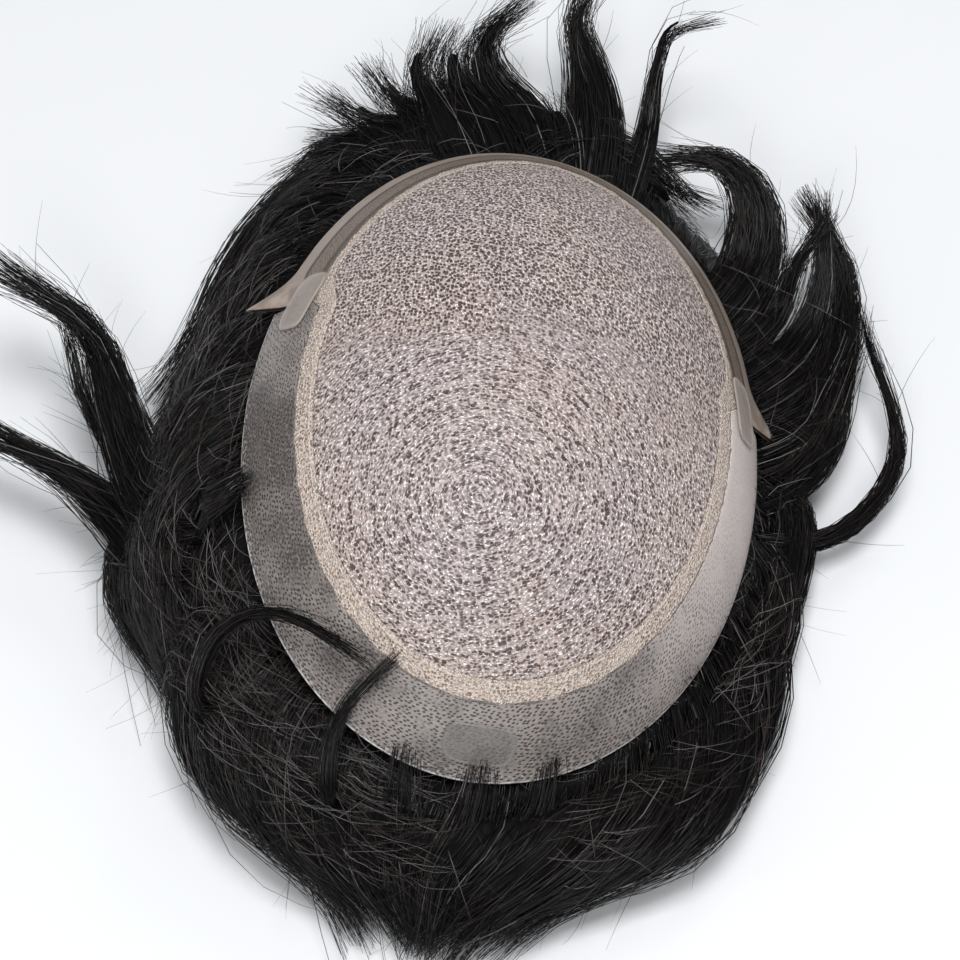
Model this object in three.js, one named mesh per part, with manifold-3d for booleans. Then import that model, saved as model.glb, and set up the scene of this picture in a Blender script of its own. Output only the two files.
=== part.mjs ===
// A toupee laid hair down, with its base turned scalp side up.
// Millimetres, +Z up, +Y towards the front hairline. The origin is on the surface, under the base's middle.
import * as THREE from 'three';
import { mergeVertices } from 'three/addons/utils/BufferGeometryUtils.js';
import Module from 'manifold-3d';

const wasm = await Module();
wasm.setup();

// Base, measured over its curve
const baseLength = 203.2;
const baseWidth = 152.4;
const frontSquareness = 1.75;
const backSquareness = 1.98;

// Curvature of the dome and how it lies
const sideRadius = 68;
const frontRadius = 125;
const backRadius = 113;
const crownHeight = 66;
const leanDegrees = 10.7;

// Strips round the net, measured over the curve
const laceWidth = 13.5;
const bandWidth = 17.5;
const bindingWidth = 5.5;
const lineWidth = 3;
const laceHalfAngle = 71;
const laceMiddle = 87;
const seamTurn = 3;
const bandSetBack = 0.4;
const laceTipReach = 7.5;
const laceTipAngle = 13;
const laceTipRise = 4.5;
const tabLength = 19;
const tabWidth = 9;
const tabInset = 6.5;
const labelLength = 18;
const labelWidth = 9;
const labelInset = 4.5;
const labelDegrees = -88;

// Cloth, film and seams
const netThickness = 1.4;
const bindingThickness = 1.6;
const bandThickness = 1;
const laceThickness = 1;
const patchThickness = 1;
const seamGap = 0.35;
const patchGap = 0.4;

// Hair
const hairSpread = 60;
const hairLoft = 40;
const lockWidth = 18;
const lockDepth = 9;
const rootTuck = 9;
const bedRipple = 2;
const bedRipples = 24;
const crownShare = 0.6;
const hairGap = 0.35;

// A lock's fullness along its length, as shares of its width and of its length
const tipShare = 0.22;
const rootShare = 0.75;
const swellShare = 0.8;
const taperPower = 4;

// Facets
const evenColumns = 72;
const bedColumns = 72;
const crownSides = 36;
const tabSides = 16;
const labelSides = 12;
const netRows = 4;
const bindingRows = 1;
const bandRows = 2;
const laceRows = 3;
const spaceRows = 5;
const lockSections = 9;
const lockSides = 6;
const cornerPower = 0.5;
const tipCurlPower = 3;
const mergeTolerance = 1e-4;
const facetTolerance = 0.06;

const reachOfEverything = baseLength + 4 * hairSpread;
const radians = Math.PI / 180;
const lean = leanDegrees * radians;
const sideDepth = sideRadius * (1 - Math.cos(baseWidth / 2 / sideRadius));
const placed = new THREE.Matrix4()
  .makeTranslation(sideDepth * Math.sin(lean), 0, crownHeight)
  .multiply(new THREE.Matrix4().makeRotationY(lean));

// A point of the dome: an angle round the crown, a distance down the curve and a lift off it
function domePoint(angle, along, lift) {
  const across = Math.cos(angle);
  const ahead = Math.sin(angle);
  const lengthRadius = ahead > 0 ? frontRadius : backRadius;
  const radius = 1 / (across ** 2 / sideRadius + ahead ** 2 / lengthRadius);
  const turn = along / radius;
  const out = (radius + lift) * Math.sin(turn);
  const down = (radius + lift) * Math.cos(turn) - radius;
  return new THREE.Vector3(out * across, out * ahead, down).applyMatrix4(placed);
}

// Distance over the curve from the crown to the rim
function rimDistance(angle) {
  const power = Math.sin(angle) > 0 ? frontSquareness : backSquareness;
  const across = (2 * Math.abs(Math.cos(angle)) / baseWidth) ** power;
  const ahead = (2 * Math.abs(Math.sin(angle)) / baseLength) ** power;
  return (across + ahead) ** (-1 / power);
}

// Degrees from the middle of the lace, which sits a little to one side of the front
function degreesFromFront(angle) {
  const turn = angle - laceMiddle * radians;
  return Math.abs(Math.atan2(Math.sin(turn), Math.cos(turn))) / radians;
}

// 1 over the front lace, 0 over the film band, with a short change between them
function frontness(angle) {
  const past = (degreesFromFront(angle) - laceHalfAngle) / seamTurn;
  return 1 - THREE.MathUtils.clamp(past, 0, 1);
}

function seamDistance(angle) {
  return rimDistance(angle) - THREE.MathUtils.lerp(bandWidth, laceWidth, frontness(angle)) - seamGap;
}

function netDistance(angle) {
  return seamDistance(angle) - THREE.MathUtils.lerp(bindingWidth, lineWidth, frontness(angle)) - seamGap;
}

// The lace runs out past the rim at its two ends, and stands off the curve there
function tipShareAt(angle) {
  return THREE.MathUtils.clamp((degreesFromFront(angle) - laceHalfAngle) / laceTipAngle + 1, 0, 1) ** 2;
}

function laceDistance(angle) {
  return rimDistance(angle) + laceTipReach * tipShareAt(angle);
}

function laceRise(angle) {
  return laceTipRise * tipShareAt(angle);
}

// The angles in degrees at which every piece of the base has its columns, so that facets meet
const seamTurns = [laceHalfAngle, laceHalfAngle + seamTurn];
const seamAngles = [-1, 1].flatMap((side) => seamTurns.map((turn) => laceMiddle + side * turn));
const evenAngles = Array.from({ length: evenColumns }, (_, column) => 360 * column / evenColumns);
const clearOfSeams = (degrees) => seamAngles.every((seam) => Math.abs(degrees - seam) > seamTurn / 2);
const awayFromSeams = evenAngles.filter(clearOfSeams);
const baseAngles = [...awayFromSeams, ...seamAngles].sort((a, b) => a - b);

function columnAngles(from, to) {
  const turned = [...baseAngles, ...baseAngles.map((degrees) => degrees + 360)];
  const between = turned.filter((degrees) => degrees > from && degrees < to);
  return [from, ...between, to].map((degrees) => degrees * radians);
}

// Closed bodies from rings of points
function geometryOf(points, triangles) {
  const geometry = new THREE.BufferGeometry();
  const positions = points.flatMap((point) => [point.x, point.y, point.z]);
  geometry.setAttribute('position', new THREE.Float32BufferAttribute(positions, 3));
  geometry.setIndex(triangles);
  return mergeVertices(geometry, mergeTolerance);
}

function sideTriangles(rings, sides) {
  const triangles = [];
  for (let ring = 0; ring + 1 < rings; ring++) {
    for (let side = 0; side < sides; side++) {
      const a = ring * sides + side;
      const b = ring * sides + (side + 1) % sides;
      triangles.push(a, b, b + sides, a, b + sides, a + sides);
    }
  }
  return triangles;
}

// Rings are listed so that, seen from the last one, each turns anticlockwise about the first
function stackRings(rings, firstCentre, lastCentre) {
  const sides = rings[0].length;
  const points = [...rings.flat(), firstCentre, lastCentre];
  const triangles = sideTriangles(rings.length, sides);
  const first = points.length - 2;
  const start = (rings.length - 1) * sides;
  for (let side = 0; side < sides; side++) {
    const next = (side + 1) % sides;
    triangles.push(first, next, side, first + 1, start + side, start + next);
  }
  return geometryOf(points, triangles);
}

function middleOf(ring) {
  return ring.reduce((sum, point) => sum.add(point), new THREE.Vector3()).divideScalar(ring.length);
}

// A strip of cloth on the dome, between two distances and round some angles or all of them
function clothStrip({ from, to, inner, outer, rise = () => 0, lift = 0, thickness, rows }) {
  const closed = to === undefined;
  const angles = closed ? baseAngles.map((degrees) => degrees * radians) : columnAngles(from, to);
  const loop = angles.map((angle) => {
    const across = (offset) => Array.from({ length: rows + 1 }, (_, row) => {
      const along = THREE.MathUtils.lerp(inner(angle), outer(angle), row / rows);
      return domePoint(angle, along, lift + offset + rise(angle) * (row / rows) ** tipCurlPower);
    });
    return [...across(0), ...across(-thickness).reverse()];
  });
  if (closed) {
    loop.push(loop[0]);
    return geometryOf(loop.flat(), sideTriangles(loop.length, loop[0].length));
  }
  return stackRings(loop, middleOf(loop[0]), middleOf(loop.at(-1)));
}

// The whole dome out to a distance, as one shell that is closed at the crown
function clothCap({ outer, lift = 0, thickness, rows }) {
  const ring = (share, offset) => baseAngles.map((degrees) => {
    const angle = degrees * radians;
    return domePoint(angle, outer(angle) * share, offset);
  });
  const under = [];
  const over = [];
  for (let row = 1; row <= rows; row++) {
    under.push(ring(row / rows, lift - thickness));
    over.unshift(ring(row / rows, lift));
  }
  return stackRings([...under, ...over], domePoint(0, 0, lift - thickness), domePoint(0, 0, lift));
}

// A patch with rounded corners laid over the base, long round the crown and wide down the curve
function overlayPatch({ angle, distance, length, width, sides }) {
  const squared = (value) => Math.sign(value) * Math.abs(value) ** cornerPower;
  const outline = (offset) => Array.from({ length: sides }, (_, side) => {
    const around = 2 * Math.PI * (side + 0.5) / sides;
    const along = distance + squared(Math.sin(around)) * width / 2;
    return domePoint(angle - squared(Math.cos(around)) * length / 2 / along, along, offset);
  });
  const lifts = [patchGap, patchGap + patchThickness];
  const [underCentre, overCentre] = lifts.map((lift) => domePoint(angle, distance, lift));
  return stackRings(lifts.map(outline), underCentre, overCentre);
}

// Solids that are joined and cut
function solidOf(geometry) {
  const bare = geometry.clone();
  bare.deleteAttribute('normal');
  bare.deleteAttribute('uv');
  const merged = mergeVertices(bare, mergeTolerance);
  return new wasm.Manifold(new wasm.Mesh({
    numProp: 3,
    vertProperties: Float32Array.from(merged.attributes.position.array),
    triVerts: Uint32Array.from(merged.index.array),
  }));
}

// The main body of a solid, without loose crumbs and with any sealed pocket filled
function mainBody(solid) {
  const mesh = solid.getMesh();
  const points = mesh.vertProperties;
  const body = Array.from({ length: points.length / 3 }, (_, index) => index);
  const rootOf = (index) => {
    while (body[index] !== index) index = body[index] = body[body[index]];
    return index;
  };
  const corners = [];
  for (let first = 0; first < mesh.triVerts.length; first += 3) {
    const [a, b, c] = mesh.triVerts.slice(first, first + 3);
    corners.push([a, b, c]);
    body[rootOf(a)] = rootOf(b);
    body[rootOf(b)] = rootOf(c);
  }
  const volumes = new Map();
  const at = (index) => new THREE.Vector3().fromArray(points, 3 * index);
  for (const [a, b, c] of corners) {
    const volume = at(a).dot(at(b).cross(at(c))) / 6;
    volumes.set(rootOf(a), (volumes.get(rootOf(a)) ?? 0) + volume);
  }
  const main = [...volumes].reduce((best, entry) => (entry[1] > best[1] ? entry : best))[0];
  const kept = corners.filter(([a]) => rootOf(a) === main);
  const geometry = new THREE.BufferGeometry();
  geometry.setAttribute('position', new THREE.BufferAttribute(Float32Array.from(points), 3));
  geometry.setIndex(kept.flat());
  return mergeVertices(geometry.toNonIndexed(), mergeTolerance / 10);
}

function joined(solids) {
  return solids.reduce((sum, solid) => sum.add(solid));
}

// Hair bed: what is packed under the base and spills out round it, down to the surface
const clothDepth = Math.max(netThickness, bindingThickness, bandThickness, laceThickness);

// The bed's flank from the surface up to the rim: reach as a share of the spill past the rim, and
// height as a share of the rim's own
const bedFlank = [
  { reach: 0.85, height: 0 },
  { reach: 1, height: 0.16 },
  { reach: 0.72, height: 0.52 },
  { reach: 0.3, height: 0.84 },
];
// Where the bed's top has its rings, as shares of the way from the crown to the rim
const bedTop = [0.97, 0.7, 0.4];

// How far the bed spills past the rim, in shares of hairSpread
const bedSpill = [
  { degrees: 20, reach: 0.12 },
  { degrees: 50, reach: 0.16 },
  { degrees: 70, reach: 0.34 },
  { degrees: 95, reach: 0.4 },
  { degrees: 125, reach: 0.42 },
  { degrees: 160, reach: 0.38 },
  { degrees: 198, reach: 0.44 },
  { degrees: 225, reach: 0.38 },
  { degrees: 250, reach: 0.3 },
  { degrees: 285, reach: 0.32 },
  { degrees: 303, reach: 0.36 },
  { degrees: 325, reach: 0.2 },
  { degrees: 350, reach: 0.14 },
];

function spillAt(angle) {
  const degrees = (angle / radians - bedSpill[0].degrees + 720) % 360 + bedSpill[0].degrees;
  const rows = [...bedSpill, { degrees: bedSpill[0].degrees + 360, reach: bedSpill[0].reach }];
  const after = rows.findIndex((row) => row.degrees > degrees);
  const [low, high] = [rows[after - 1], rows[after]];
  const share = (degrees - low.degrees) / (high.degrees - low.degrees);
  return THREE.MathUtils.lerp(low.reach, high.reach, THREE.MathUtils.smoothstep(share, 0, 1)) * hairSpread;
}

function rimPlan(angle) {
  const rim = domePoint(angle, rimDistance(angle), -clothDepth);
  return { rim, out: new THREE.Vector3(rim.x, rim.y, 0).normalize(), radius: Math.hypot(rim.x, rim.y) };
}

function bedGeometry() {
  const angles = Array.from({ length: bedColumns }, (_, column) => 2 * Math.PI * column / bedColumns);
  const flank = ({ reach, height }) => angles.map((angle) => {
    const { rim, out, radius } = rimPlan(angle);
    const spill = spillAt(angle) + bedRipple * Math.cos(bedRipples * angle);
    return out.multiplyScalar(radius + reach * spill).setZ(rim.z * height);
  });
  const inCloth = -clothDepth / 2;
  const top = (share) => angles.map((angle) => domePoint(angle, rimDistance(angle) * share, inCloth));
  const rings = [...bedFlank.map(flank), ...bedTop.map(top)];
  return stackRings(rings, new THREE.Vector3(0, 0, 0), domePoint(0, 0, inCloth));
}

// A sector of the bed between two angles, kept clear of its neighbours by half a gap
function sectorPrism(from, to, gap) {
  const middle = (from + to) / 2 * radians;
  const half = (to - from) / 2 * radians;
  const start = gap / 2 / Math.sin(half);
  const outline = new THREE.Shape();
  outline.moveTo(Math.cos(middle) * start, Math.sin(middle) * start);
  for (const bearing of [from * radians, middle, to * radians]) {
    const far = new THREE.Vector2(Math.cos(bearing), Math.sin(bearing)).multiplyScalar(reachOfEverything);
    outline.lineTo(far.x + Math.cos(middle) * start, far.y + Math.sin(middle) * start);
  }
  outline.closePath();
  const prism = new THREE.ExtrudeGeometry(outline, { depth: 2 * crownHeight, bevelEnabled: false });
  return prism.translate(0, 0, -crownHeight / 2);
}

function crownPrism(gap) {
  const outline = new THREE.Shape(Array.from({ length: crownSides }, (_, side) => {
    const { out, radius } = rimPlan(2 * Math.PI * side / crownSides);
    return new THREE.Vector2(out.x, out.y).multiplyScalar(radius * crownShare + gap);
  }));
  const prism = new THREE.ExtrudeGeometry(outline, { depth: 2 * crownHeight, bevelEnabled: false });
  return prism.translate(0, 0, -crownHeight / 2);
}

// Locks of hair. Each starts under the rim at an angle, and a row of its path is a station:
// [angle in degrees, reach past the rim as a share of hairSpread, height as a share of hairLoft].
// Its width and depth are shares of lockWidth and lockDepth.
const locks = [
  { name: 'crest_left', zone: 'front', root: 101, width: 1.15, depth: 0.9,
    path: [[105, 0.51, 0.5], [106, 0.7, 0.55], [104, 0.79, 0.65]] },
  { name: 'crest_fan', zone: 'front', root: 107, width: 1.3, depth: 0.9,
    path: [[110, 0.48, 0.45], [113, 0.66, 0.42], [113, 0.77, 0.45]] },
  { name: 'crest_side', zone: 'front', root: 114, width: 1.3, depth: 0.9,
    path: [[118, 0.5, 0.42], [121, 0.6, 0.38], [127, 0.63, 0.35]] },
  { name: 'temple_sweep_top', zone: 'front', root: 106, width: 1.05, depth: 1,
    path: [[119, 0.4, 0.45], [138, 0.47, 0.36], [164, 0.44, 0.18]] },
  { name: 'temple_sweep_mid', zone: 'front', root: 118, width: 1.05, depth: 1,
    path: [[130, 0.3, 0.56], [150, 0.32, 0.45], [174, 0.38, 0.18]] },
  { name: 'temple_sweep_low', zone: 'front', root: 132, width: 1, depth: 1,
    path: [[147, 0.2, 0.66], [166, 0.22, 0.52], [188, 0.32, 0.2]] },
  { name: 'crest_swept', zone: 'front', root: 88, width: 1.15, depth: 0.9,
    path: [[94, 0.38, 0.45], [98, 0.62, 0.5], [98, 0.76, 0.62], [94, 0.83, 0.75]] },
  { name: 'crest_upright', zone: 'front', root: 81, width: 1.05, depth: 0.9,
    path: [[84, 0.4, 0.45], [86, 0.63, 0.55], [88, 0.81, 0.68], [87, 1.0, 0.75]] },
  { name: 'crest_plume', zone: 'front', root: 74, width: 0.46, depth: 0.5,
    path: [[77, 0.5, 0.42], [78, 0.69, 0.6], [78, 0.84, 0.8], [75, 0.93, 0.93]] },
  { name: 'rim_front', zone: 'front', root: 94, width: 1.2, depth: 1,
    path: [[86, 0.2, 0.45], [78, 0.32, 0.38], [68, 0.24, 0.32]] },
  { name: 'hook_upper', zone: 'right', root: 46, width: 0.95, depth: 0.8,
    path: [[52, 0.28, 0.4], [57, 0.42, 0.6], [64, 0.44, 0.7], [71, 0.31, 0.72]] },
  { name: 'loop_inner', zone: 'right', root: 37, width: 0.5, depth: 0.6,
    path: [[43, 0.28, 0.35], [46, 0.4, 0.55], [48, 0.53, 0.7]] },
  { name: 'loop_middle', zone: 'right', root: 27, width: 0.62, depth: 0.6,
    path: [[36, 0.31, 0.3], [41, 0.48, 0.45], [48, 0.63, 0.66]] },
  { name: 'loop_outer', zone: 'right', root: 16, width: 0.78, depth: 0.75,
    path: [[24, 0.31, 0.28], [34, 0.5, 0.35], [41, 0.64, 0.47], [48, 0.66, 0.62]] },
  { name: 'tail_wide', zone: 'right', root: 0, width: 0.95, depth: 0.75,
    path: [[10, 0.17, 0.28], [20, 0.33, 0.3], [32, 0.48, 0.3]] },
  { name: 'arc_thin', zone: 'right', root: -12, width: 0.28, depth: 0.4,
    path: [[-3, 0.34, 0.22], [11, 0.6, 0.3], [32, 0.58, 0.4]] },
  { name: 'rim_drop', zone: 'right', root: 12, width: 0.8, depth: 0.75,
    path: [[2, 0.14, 0.25], [-14, 0.18, 0.22], [-40, 0.24, 0.15]] },
  { name: 'sweep_right_outer', zone: 'back', root: -20, width: 1.05, depth: 0.85,
    path: [[-31, 0.14, 0.24], [-50, 0.33, 0.22], [-72, 0.4, 0.13]] },
  { name: 'sweep_right_mid', zone: 'back', root: -38, width: 1.2, depth: 0.95,
    path: [[-47, 0.2, 0.34], [-60, 0.4, 0.28], [-80, 0.41, 0.13]] },
  { name: 'sweep_right_inner', zone: 'back', root: -56, width: 1.25, depth: 1,
    path: [[-62, 0.18, 0.4], [-74, 0.35, 0.31], [-88, 0.45, 0.13]] },
  { name: 'sweep_centre', zone: 'back', root: -71, width: 1.25, depth: 1,
    path: [[-76, 0.16, 0.42], [-84, 0.34, 0.34], [-91, 0.5, 0.11]] },
  { name: 'nape_right', zone: 'back', root: -86, width: 1.2, depth: 1,
    path: [[-87, 0.16, 0.44], [-91, 0.34, 0.33], [-92, 0.54, 0.11]] },
  { name: 'nape_left', zone: 'back', root: -99, width: 1.2, depth: 1,
    path: [[-100, 0.16, 0.46], [-98, 0.36, 0.34], [-93, 0.51, 0.11]] },
  { name: 'wave_inner', zone: 'back', root: -112, width: 1.2, depth: 1,
    path: [[-112, 0.18, 0.54], [-107, 0.37, 0.38], [-96, 0.44, 0.13]] },
  { name: 'wave_mid', zone: 'back', root: -124, width: 1.2, depth: 1,
    path: [[-123, 0.24, 0.56], [-115, 0.41, 0.38], [-100, 0.41, 0.13]] },
  { name: 'wave_outer', zone: 'back', root: -136, width: 1.1, depth: 0.9,
    path: [[-134, 0.27, 0.54], [-125, 0.44, 0.34], [-107, 0.42, 0.11]] },
  { name: 'curl_over_band', zone: 'back', root: -122, width: 0.26, depth: 0.4,
    path: [[-127, 0.45, 0.6], [-132, 0.28, 0.93], [-127, 0.03, 1.12], [-111, -0.13, 1.17]] },
  { name: 'curl_at_nape', zone: 'back', root: -103, width: 0.24, depth: 0.38,
    path: [[-105, 0.3, 0.5], [-108, 0.15, 0.8], [-108, -0.01, 0.94], [-105, -0.14, 0.98]] },
  { name: 'side_upper', zone: 'left', root: 168, width: 1.1, depth: 1,
    path: [[180, 0.2, 0.74], [192, 0.3, 0.56], [212, 0.4, 0.25]] },
  { name: 'side_inner', zone: 'left', root: 186, width: 1.1, depth: 1,
    path: [[198, 0.26, 0.66], [212, 0.37, 0.46], [230, 0.36, 0.22]] },
  { name: 'side_outer', zone: 'left', root: 193, width: 1.1, depth: 0.9,
    path: [[197, 0.36, 0.5], [206, 0.5, 0.32], [222, 0.42, 0.13]] },
  { name: 'flick_upper', zone: 'left', root: 207, width: 0.85, depth: 0.7,
    path: [[199, 0.32, 0.62], [180, 0.55, 0.63], [168, 0.76, 0.75], [165, 1.09, 0.9]] },
  { name: 'flick_lower', zone: 'left', root: 216, width: 0.85, depth: 0.7,
    path: [[206, 0.34, 0.5], [194, 0.56, 0.47], [188, 0.77, 0.55], [184, 1.1, 0.62]] },
  { name: 'wisp_upper', zone: 'left', root: 203, width: 0.28, depth: 0.4,
    path: [[191, 0.4, 0.56], [178, 0.7, 0.6], [170, 0.85, 0.72]] },
];

function lockCurve(lock) {
  const root = rimPlan(lock.root * radians);
  const rootHeight = root.rim.z - seamGap - lock.depth * lockDepth / 2;
  const stations = [root.out.clone().multiplyScalar(root.radius - rootTuck).setZ(rootHeight)];
  for (const [degrees, reach, height] of lock.path) {
    const plan = rimPlan(degrees * radians);
    stations.push(plan.out.multiplyScalar(plan.radius + reach * hairSpread).setZ(height * hairLoft));
  }
  return new THREE.CatmullRomCurve3(stations, false, 'centripetal');
}

// A lock is flat, full for most of its length, and runs out to a thin tip
function lockGeometry(lock, clearance) {
  const curve = lockCurve(lock);
  const rings = [];
  for (let section = 0; section < lockSections; section++) {
    const share = section / (lockSections - 1);
    const centre = curve.getPointAt(share);
    const forward = curve.getTangentAt(share);
    const across = new THREE.Vector3(0, 0, 1).cross(forward).normalize();
    const upward = forward.clone().cross(across);
    const swell = rootShare + (1 - rootShare) * Math.sin(Math.PI * Math.min(share / swellShare, 1));
    const fullness = tipShare + (1 - tipShare) * (1 - share ** taperPower) * swell;
    const halfWidth = lock.width * lockWidth * fullness / 2 + clearance;
    const halfDepth = lock.depth * lockDepth * fullness / 2 + clearance;
    if (section === 0) centre.addScaledVector(forward, -clearance);
    if (section === lockSections - 1) centre.addScaledVector(forward, clearance);
    rings.push(Array.from({ length: lockSides }, (_, side) => {
      const around = 2 * Math.PI * side / lockSides;
      return centre.clone()
        .addScaledVector(across, Math.cos(around) * halfWidth)
        .addScaledVector(upward, Math.sin(around) * halfDepth);
    }));
  }
  return stackRings(rings, middleOf(rings[0]), middleOf(rings.at(-1)));
}

// Where the cloth is, with room round it
const clothSpace = joined([
  solidOf(clothCap({
    outer: (angle) => rimDistance(angle) + hairGap,
    lift: hairGap + patchThickness + patchGap,
    thickness: clothDepth + seamGap + hairGap + patchThickness + patchGap,
    rows: spaceRows,
  })),
  solidOf(clothStrip({
    from: laceMiddle - laceHalfAngle - hairGap,
    to: laceMiddle + laceHalfAngle + hairGap,
    inner: seamDistance,
    outer: (angle) => laceDistance(angle) + hairGap,
    rise: laceRise,
    lift: hairGap,
    thickness: laceThickness + 2 * hairGap,
    rows: laceRows,
  })),
]);
const largeBox = new THREE.BoxGeometry(reachOfEverything, reachOfEverything, reachOfEverything);
const aboveSurface = solidOf(largeBox.translate(0, 0, reachOfEverything / 2));
const bed = solidOf(bedGeometry());

const hairZones = [
  { zone: 'front', from: 56, to: 152 },
  { zone: 'right', from: -20, to: 56 },
  { zone: 'back', from: -138, to: -20 },
  { zone: 'left', from: 152, to: 222 },
];

function hairZone({ zone, from, to }, clearance) {
  const sector = bed.intersect(solidOf(sectorPrism(from, to, hairGap - 2 * clearance)))
    .subtract(solidOf(crownPrism(hairGap - clearance)));
  const own = locks.filter((lock) => lock.zone === zone);
  return joined([sector, ...own.map((lock) => solidOf(lockGeometry(lock, clearance)))]);
}

function hairMeshes() {
  const taken = [];
  return hairZones.map((place) => {
    let solid = hairZone(place, 0).subtract(clothSpace).subtract(solidOf(crownPrism(hairGap)));
    for (const earlier of taken) solid = solid.subtract(earlier);
    taken.push(hairZone(place, hairGap));
    return { name: `hair_${place.zone}`, solid: solid.intersect(aboveSurface).simplify(facetTolerance) };
  });
}

// Materials
const finish = (color, roughness) => new THREE.MeshStandardMaterial({ color, roughness, metalness: 0 });
const net = finish(0xc4b0a8, 0.55);
const peach = finish(0xd0b096, 0.6);
const film = finish(0x8b8784, 0.35);
const lace = finish(0x8a6f5e, 0.5);
const clearFilm = finish(0xa39f9b, 0.3);
const hair = finish(0x120f0e, 0.35);

const toupee = new THREE.Group();

function addPiece(name, geometry, material) {
  const mesh = new THREE.Mesh(geometry, material);
  mesh.name = name;
  toupee.add(mesh);
}

// Base
addPiece('net_panel', clothCap({ outer: netDistance, thickness: netThickness, rows: netRows }), net);
addPiece('edge_binding', clothStrip({
  inner: (angle) => netDistance(angle) + seamGap,
  outer: seamDistance,
  thickness: bindingThickness,
  rows: bindingRows,
}), peach);
addPiece('poly_band', clothStrip({
  from: laceMiddle + laceHalfAngle + bandSetBack,
  to: laceMiddle + 360 - laceHalfAngle - bandSetBack,
  inner: (angle) => seamDistance(angle) + seamGap,
  outer: rimDistance,
  thickness: bandThickness,
  rows: bandRows,
}), film);
addPiece('lace_front', clothStrip({
  from: laceMiddle - laceHalfAngle,
  to: laceMiddle + laceHalfAngle,
  inner: (angle) => seamDistance(angle) + seamGap,
  outer: laceDistance,
  rise: laceRise,
  thickness: laceThickness,
  rows: laceRows,
}), lace);
for (const [name, side] of [['join_tab_left', 1], ['join_tab_right', -1]]) {
  const angle = (laceMiddle + side * laceHalfAngle) * radians;
  addPiece(name, overlayPatch({
    angle,
    distance: rimDistance(angle) - tabInset - tabWidth / 2,
    length: tabLength,
    width: tabWidth,
    sides: tabSides,
  }), lace);
}
addPiece('size_label', overlayPatch({
  angle: labelDegrees * radians,
  distance: rimDistance(labelDegrees * radians) - labelInset - labelWidth / 2,
  length: labelLength,
  width: labelWidth,
  sides: labelSides,
}), clearFilm);

// Hair
const crown = bed.intersect(solidOf(crownPrism(0))).subtract(clothSpace);
addPiece('hair_crown', mainBody(crown.simplify(facetTolerance)), hair);
for (const { name, solid } of hairMeshes()) addPiece(name, mainBody(solid), hair);

export default toupee;
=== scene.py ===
# %% [markdown]
# # A toupee laid hair down
#
# The piece lies on a pale table with its base turned scalp side up: a dome of net with a folded
# edge, a brown lace strip at the front and a clear film band round the sides and back. The hair
# is tied to the other side of the base, so it spills out all round from under the rim. The frame
# gives the solids; this lesson makes the cloth, the film and the hair that are seen.

import bpy
import numpy as np
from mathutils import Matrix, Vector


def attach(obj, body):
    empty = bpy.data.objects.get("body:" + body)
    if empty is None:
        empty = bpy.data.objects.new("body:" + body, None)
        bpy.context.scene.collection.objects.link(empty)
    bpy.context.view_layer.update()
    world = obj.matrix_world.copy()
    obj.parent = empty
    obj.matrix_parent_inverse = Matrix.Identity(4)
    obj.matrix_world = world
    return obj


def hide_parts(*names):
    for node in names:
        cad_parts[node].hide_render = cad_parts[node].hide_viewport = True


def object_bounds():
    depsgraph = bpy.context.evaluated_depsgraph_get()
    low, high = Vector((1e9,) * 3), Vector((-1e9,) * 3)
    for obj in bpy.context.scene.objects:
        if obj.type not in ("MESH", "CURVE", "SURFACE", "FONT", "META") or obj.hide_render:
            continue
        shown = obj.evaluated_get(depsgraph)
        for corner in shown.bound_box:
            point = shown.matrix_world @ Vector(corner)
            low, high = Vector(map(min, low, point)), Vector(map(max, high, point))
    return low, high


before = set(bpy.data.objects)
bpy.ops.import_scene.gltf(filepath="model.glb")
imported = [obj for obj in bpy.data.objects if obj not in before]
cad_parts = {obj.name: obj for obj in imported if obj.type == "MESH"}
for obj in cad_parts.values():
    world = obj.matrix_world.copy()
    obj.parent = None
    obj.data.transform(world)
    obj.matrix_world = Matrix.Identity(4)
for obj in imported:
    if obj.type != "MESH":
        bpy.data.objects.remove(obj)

mm = 0.001
cad_low, cad_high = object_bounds()
print("frame in mm:", [[round(value / mm) for value in corner] for corner in (cad_low, cad_high)])

# %% [markdown]
# ## Camera, table and light
#
# The camera looks down on the piece at about 55 degrees with a long lens, as for a product
# picture. A wide soft lamp straight above makes the broad highlight on the middle of the net,
# weaker lamps in front, behind and low at one side draw out the hair, and the bright
# surroundings keep the table nearly white.

# %% Camera
def add_object(name, data):
    made = bpy.data.objects.new(name, data)
    bpy.context.scene.collection.objects.link(made)
    return made


camera = add_object("camera", bpy.data.cameras.new("camera"))
camera.data.sensor_width = 36
camera.data.lens = 116.6
camera.location = (0.04219, -0.42705, 0.62045)
camera.rotation_euler = np.radians((35.3, 0, 6.4))
bpy.context.scene.camera = camera
bpy.context.scene.view_settings.view_transform = "Standard"
print("lens in mm:", round(camera.data.lens, 1))

# %% Surroundings and lamps
world = bpy.data.worlds.new("surroundings")
world.use_nodes = True
world.node_tree.nodes["Background"].inputs["Color"].default_value = (0.94, 0.97, 1.0, 1)
world.node_tree.nodes["Background"].inputs["Strength"].default_value = 0.27
bpy.context.scene.world = world


def add_lamp(name, place, size, watts, aim=(0, 0, 0.03)):
    lamp = add_object(name, bpy.data.lights.new(name, "AREA"))
    lamp.data.size = size
    lamp.data.energy = watts
    lamp.location = place
    away = np.array(place) - np.array(aim)
    flat = np.hypot(away[0], away[1])
    lamp.rotation_euler = (np.arctan2(flat, away[2]), 0, np.arctan2(away[0], -away[1]))


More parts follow.
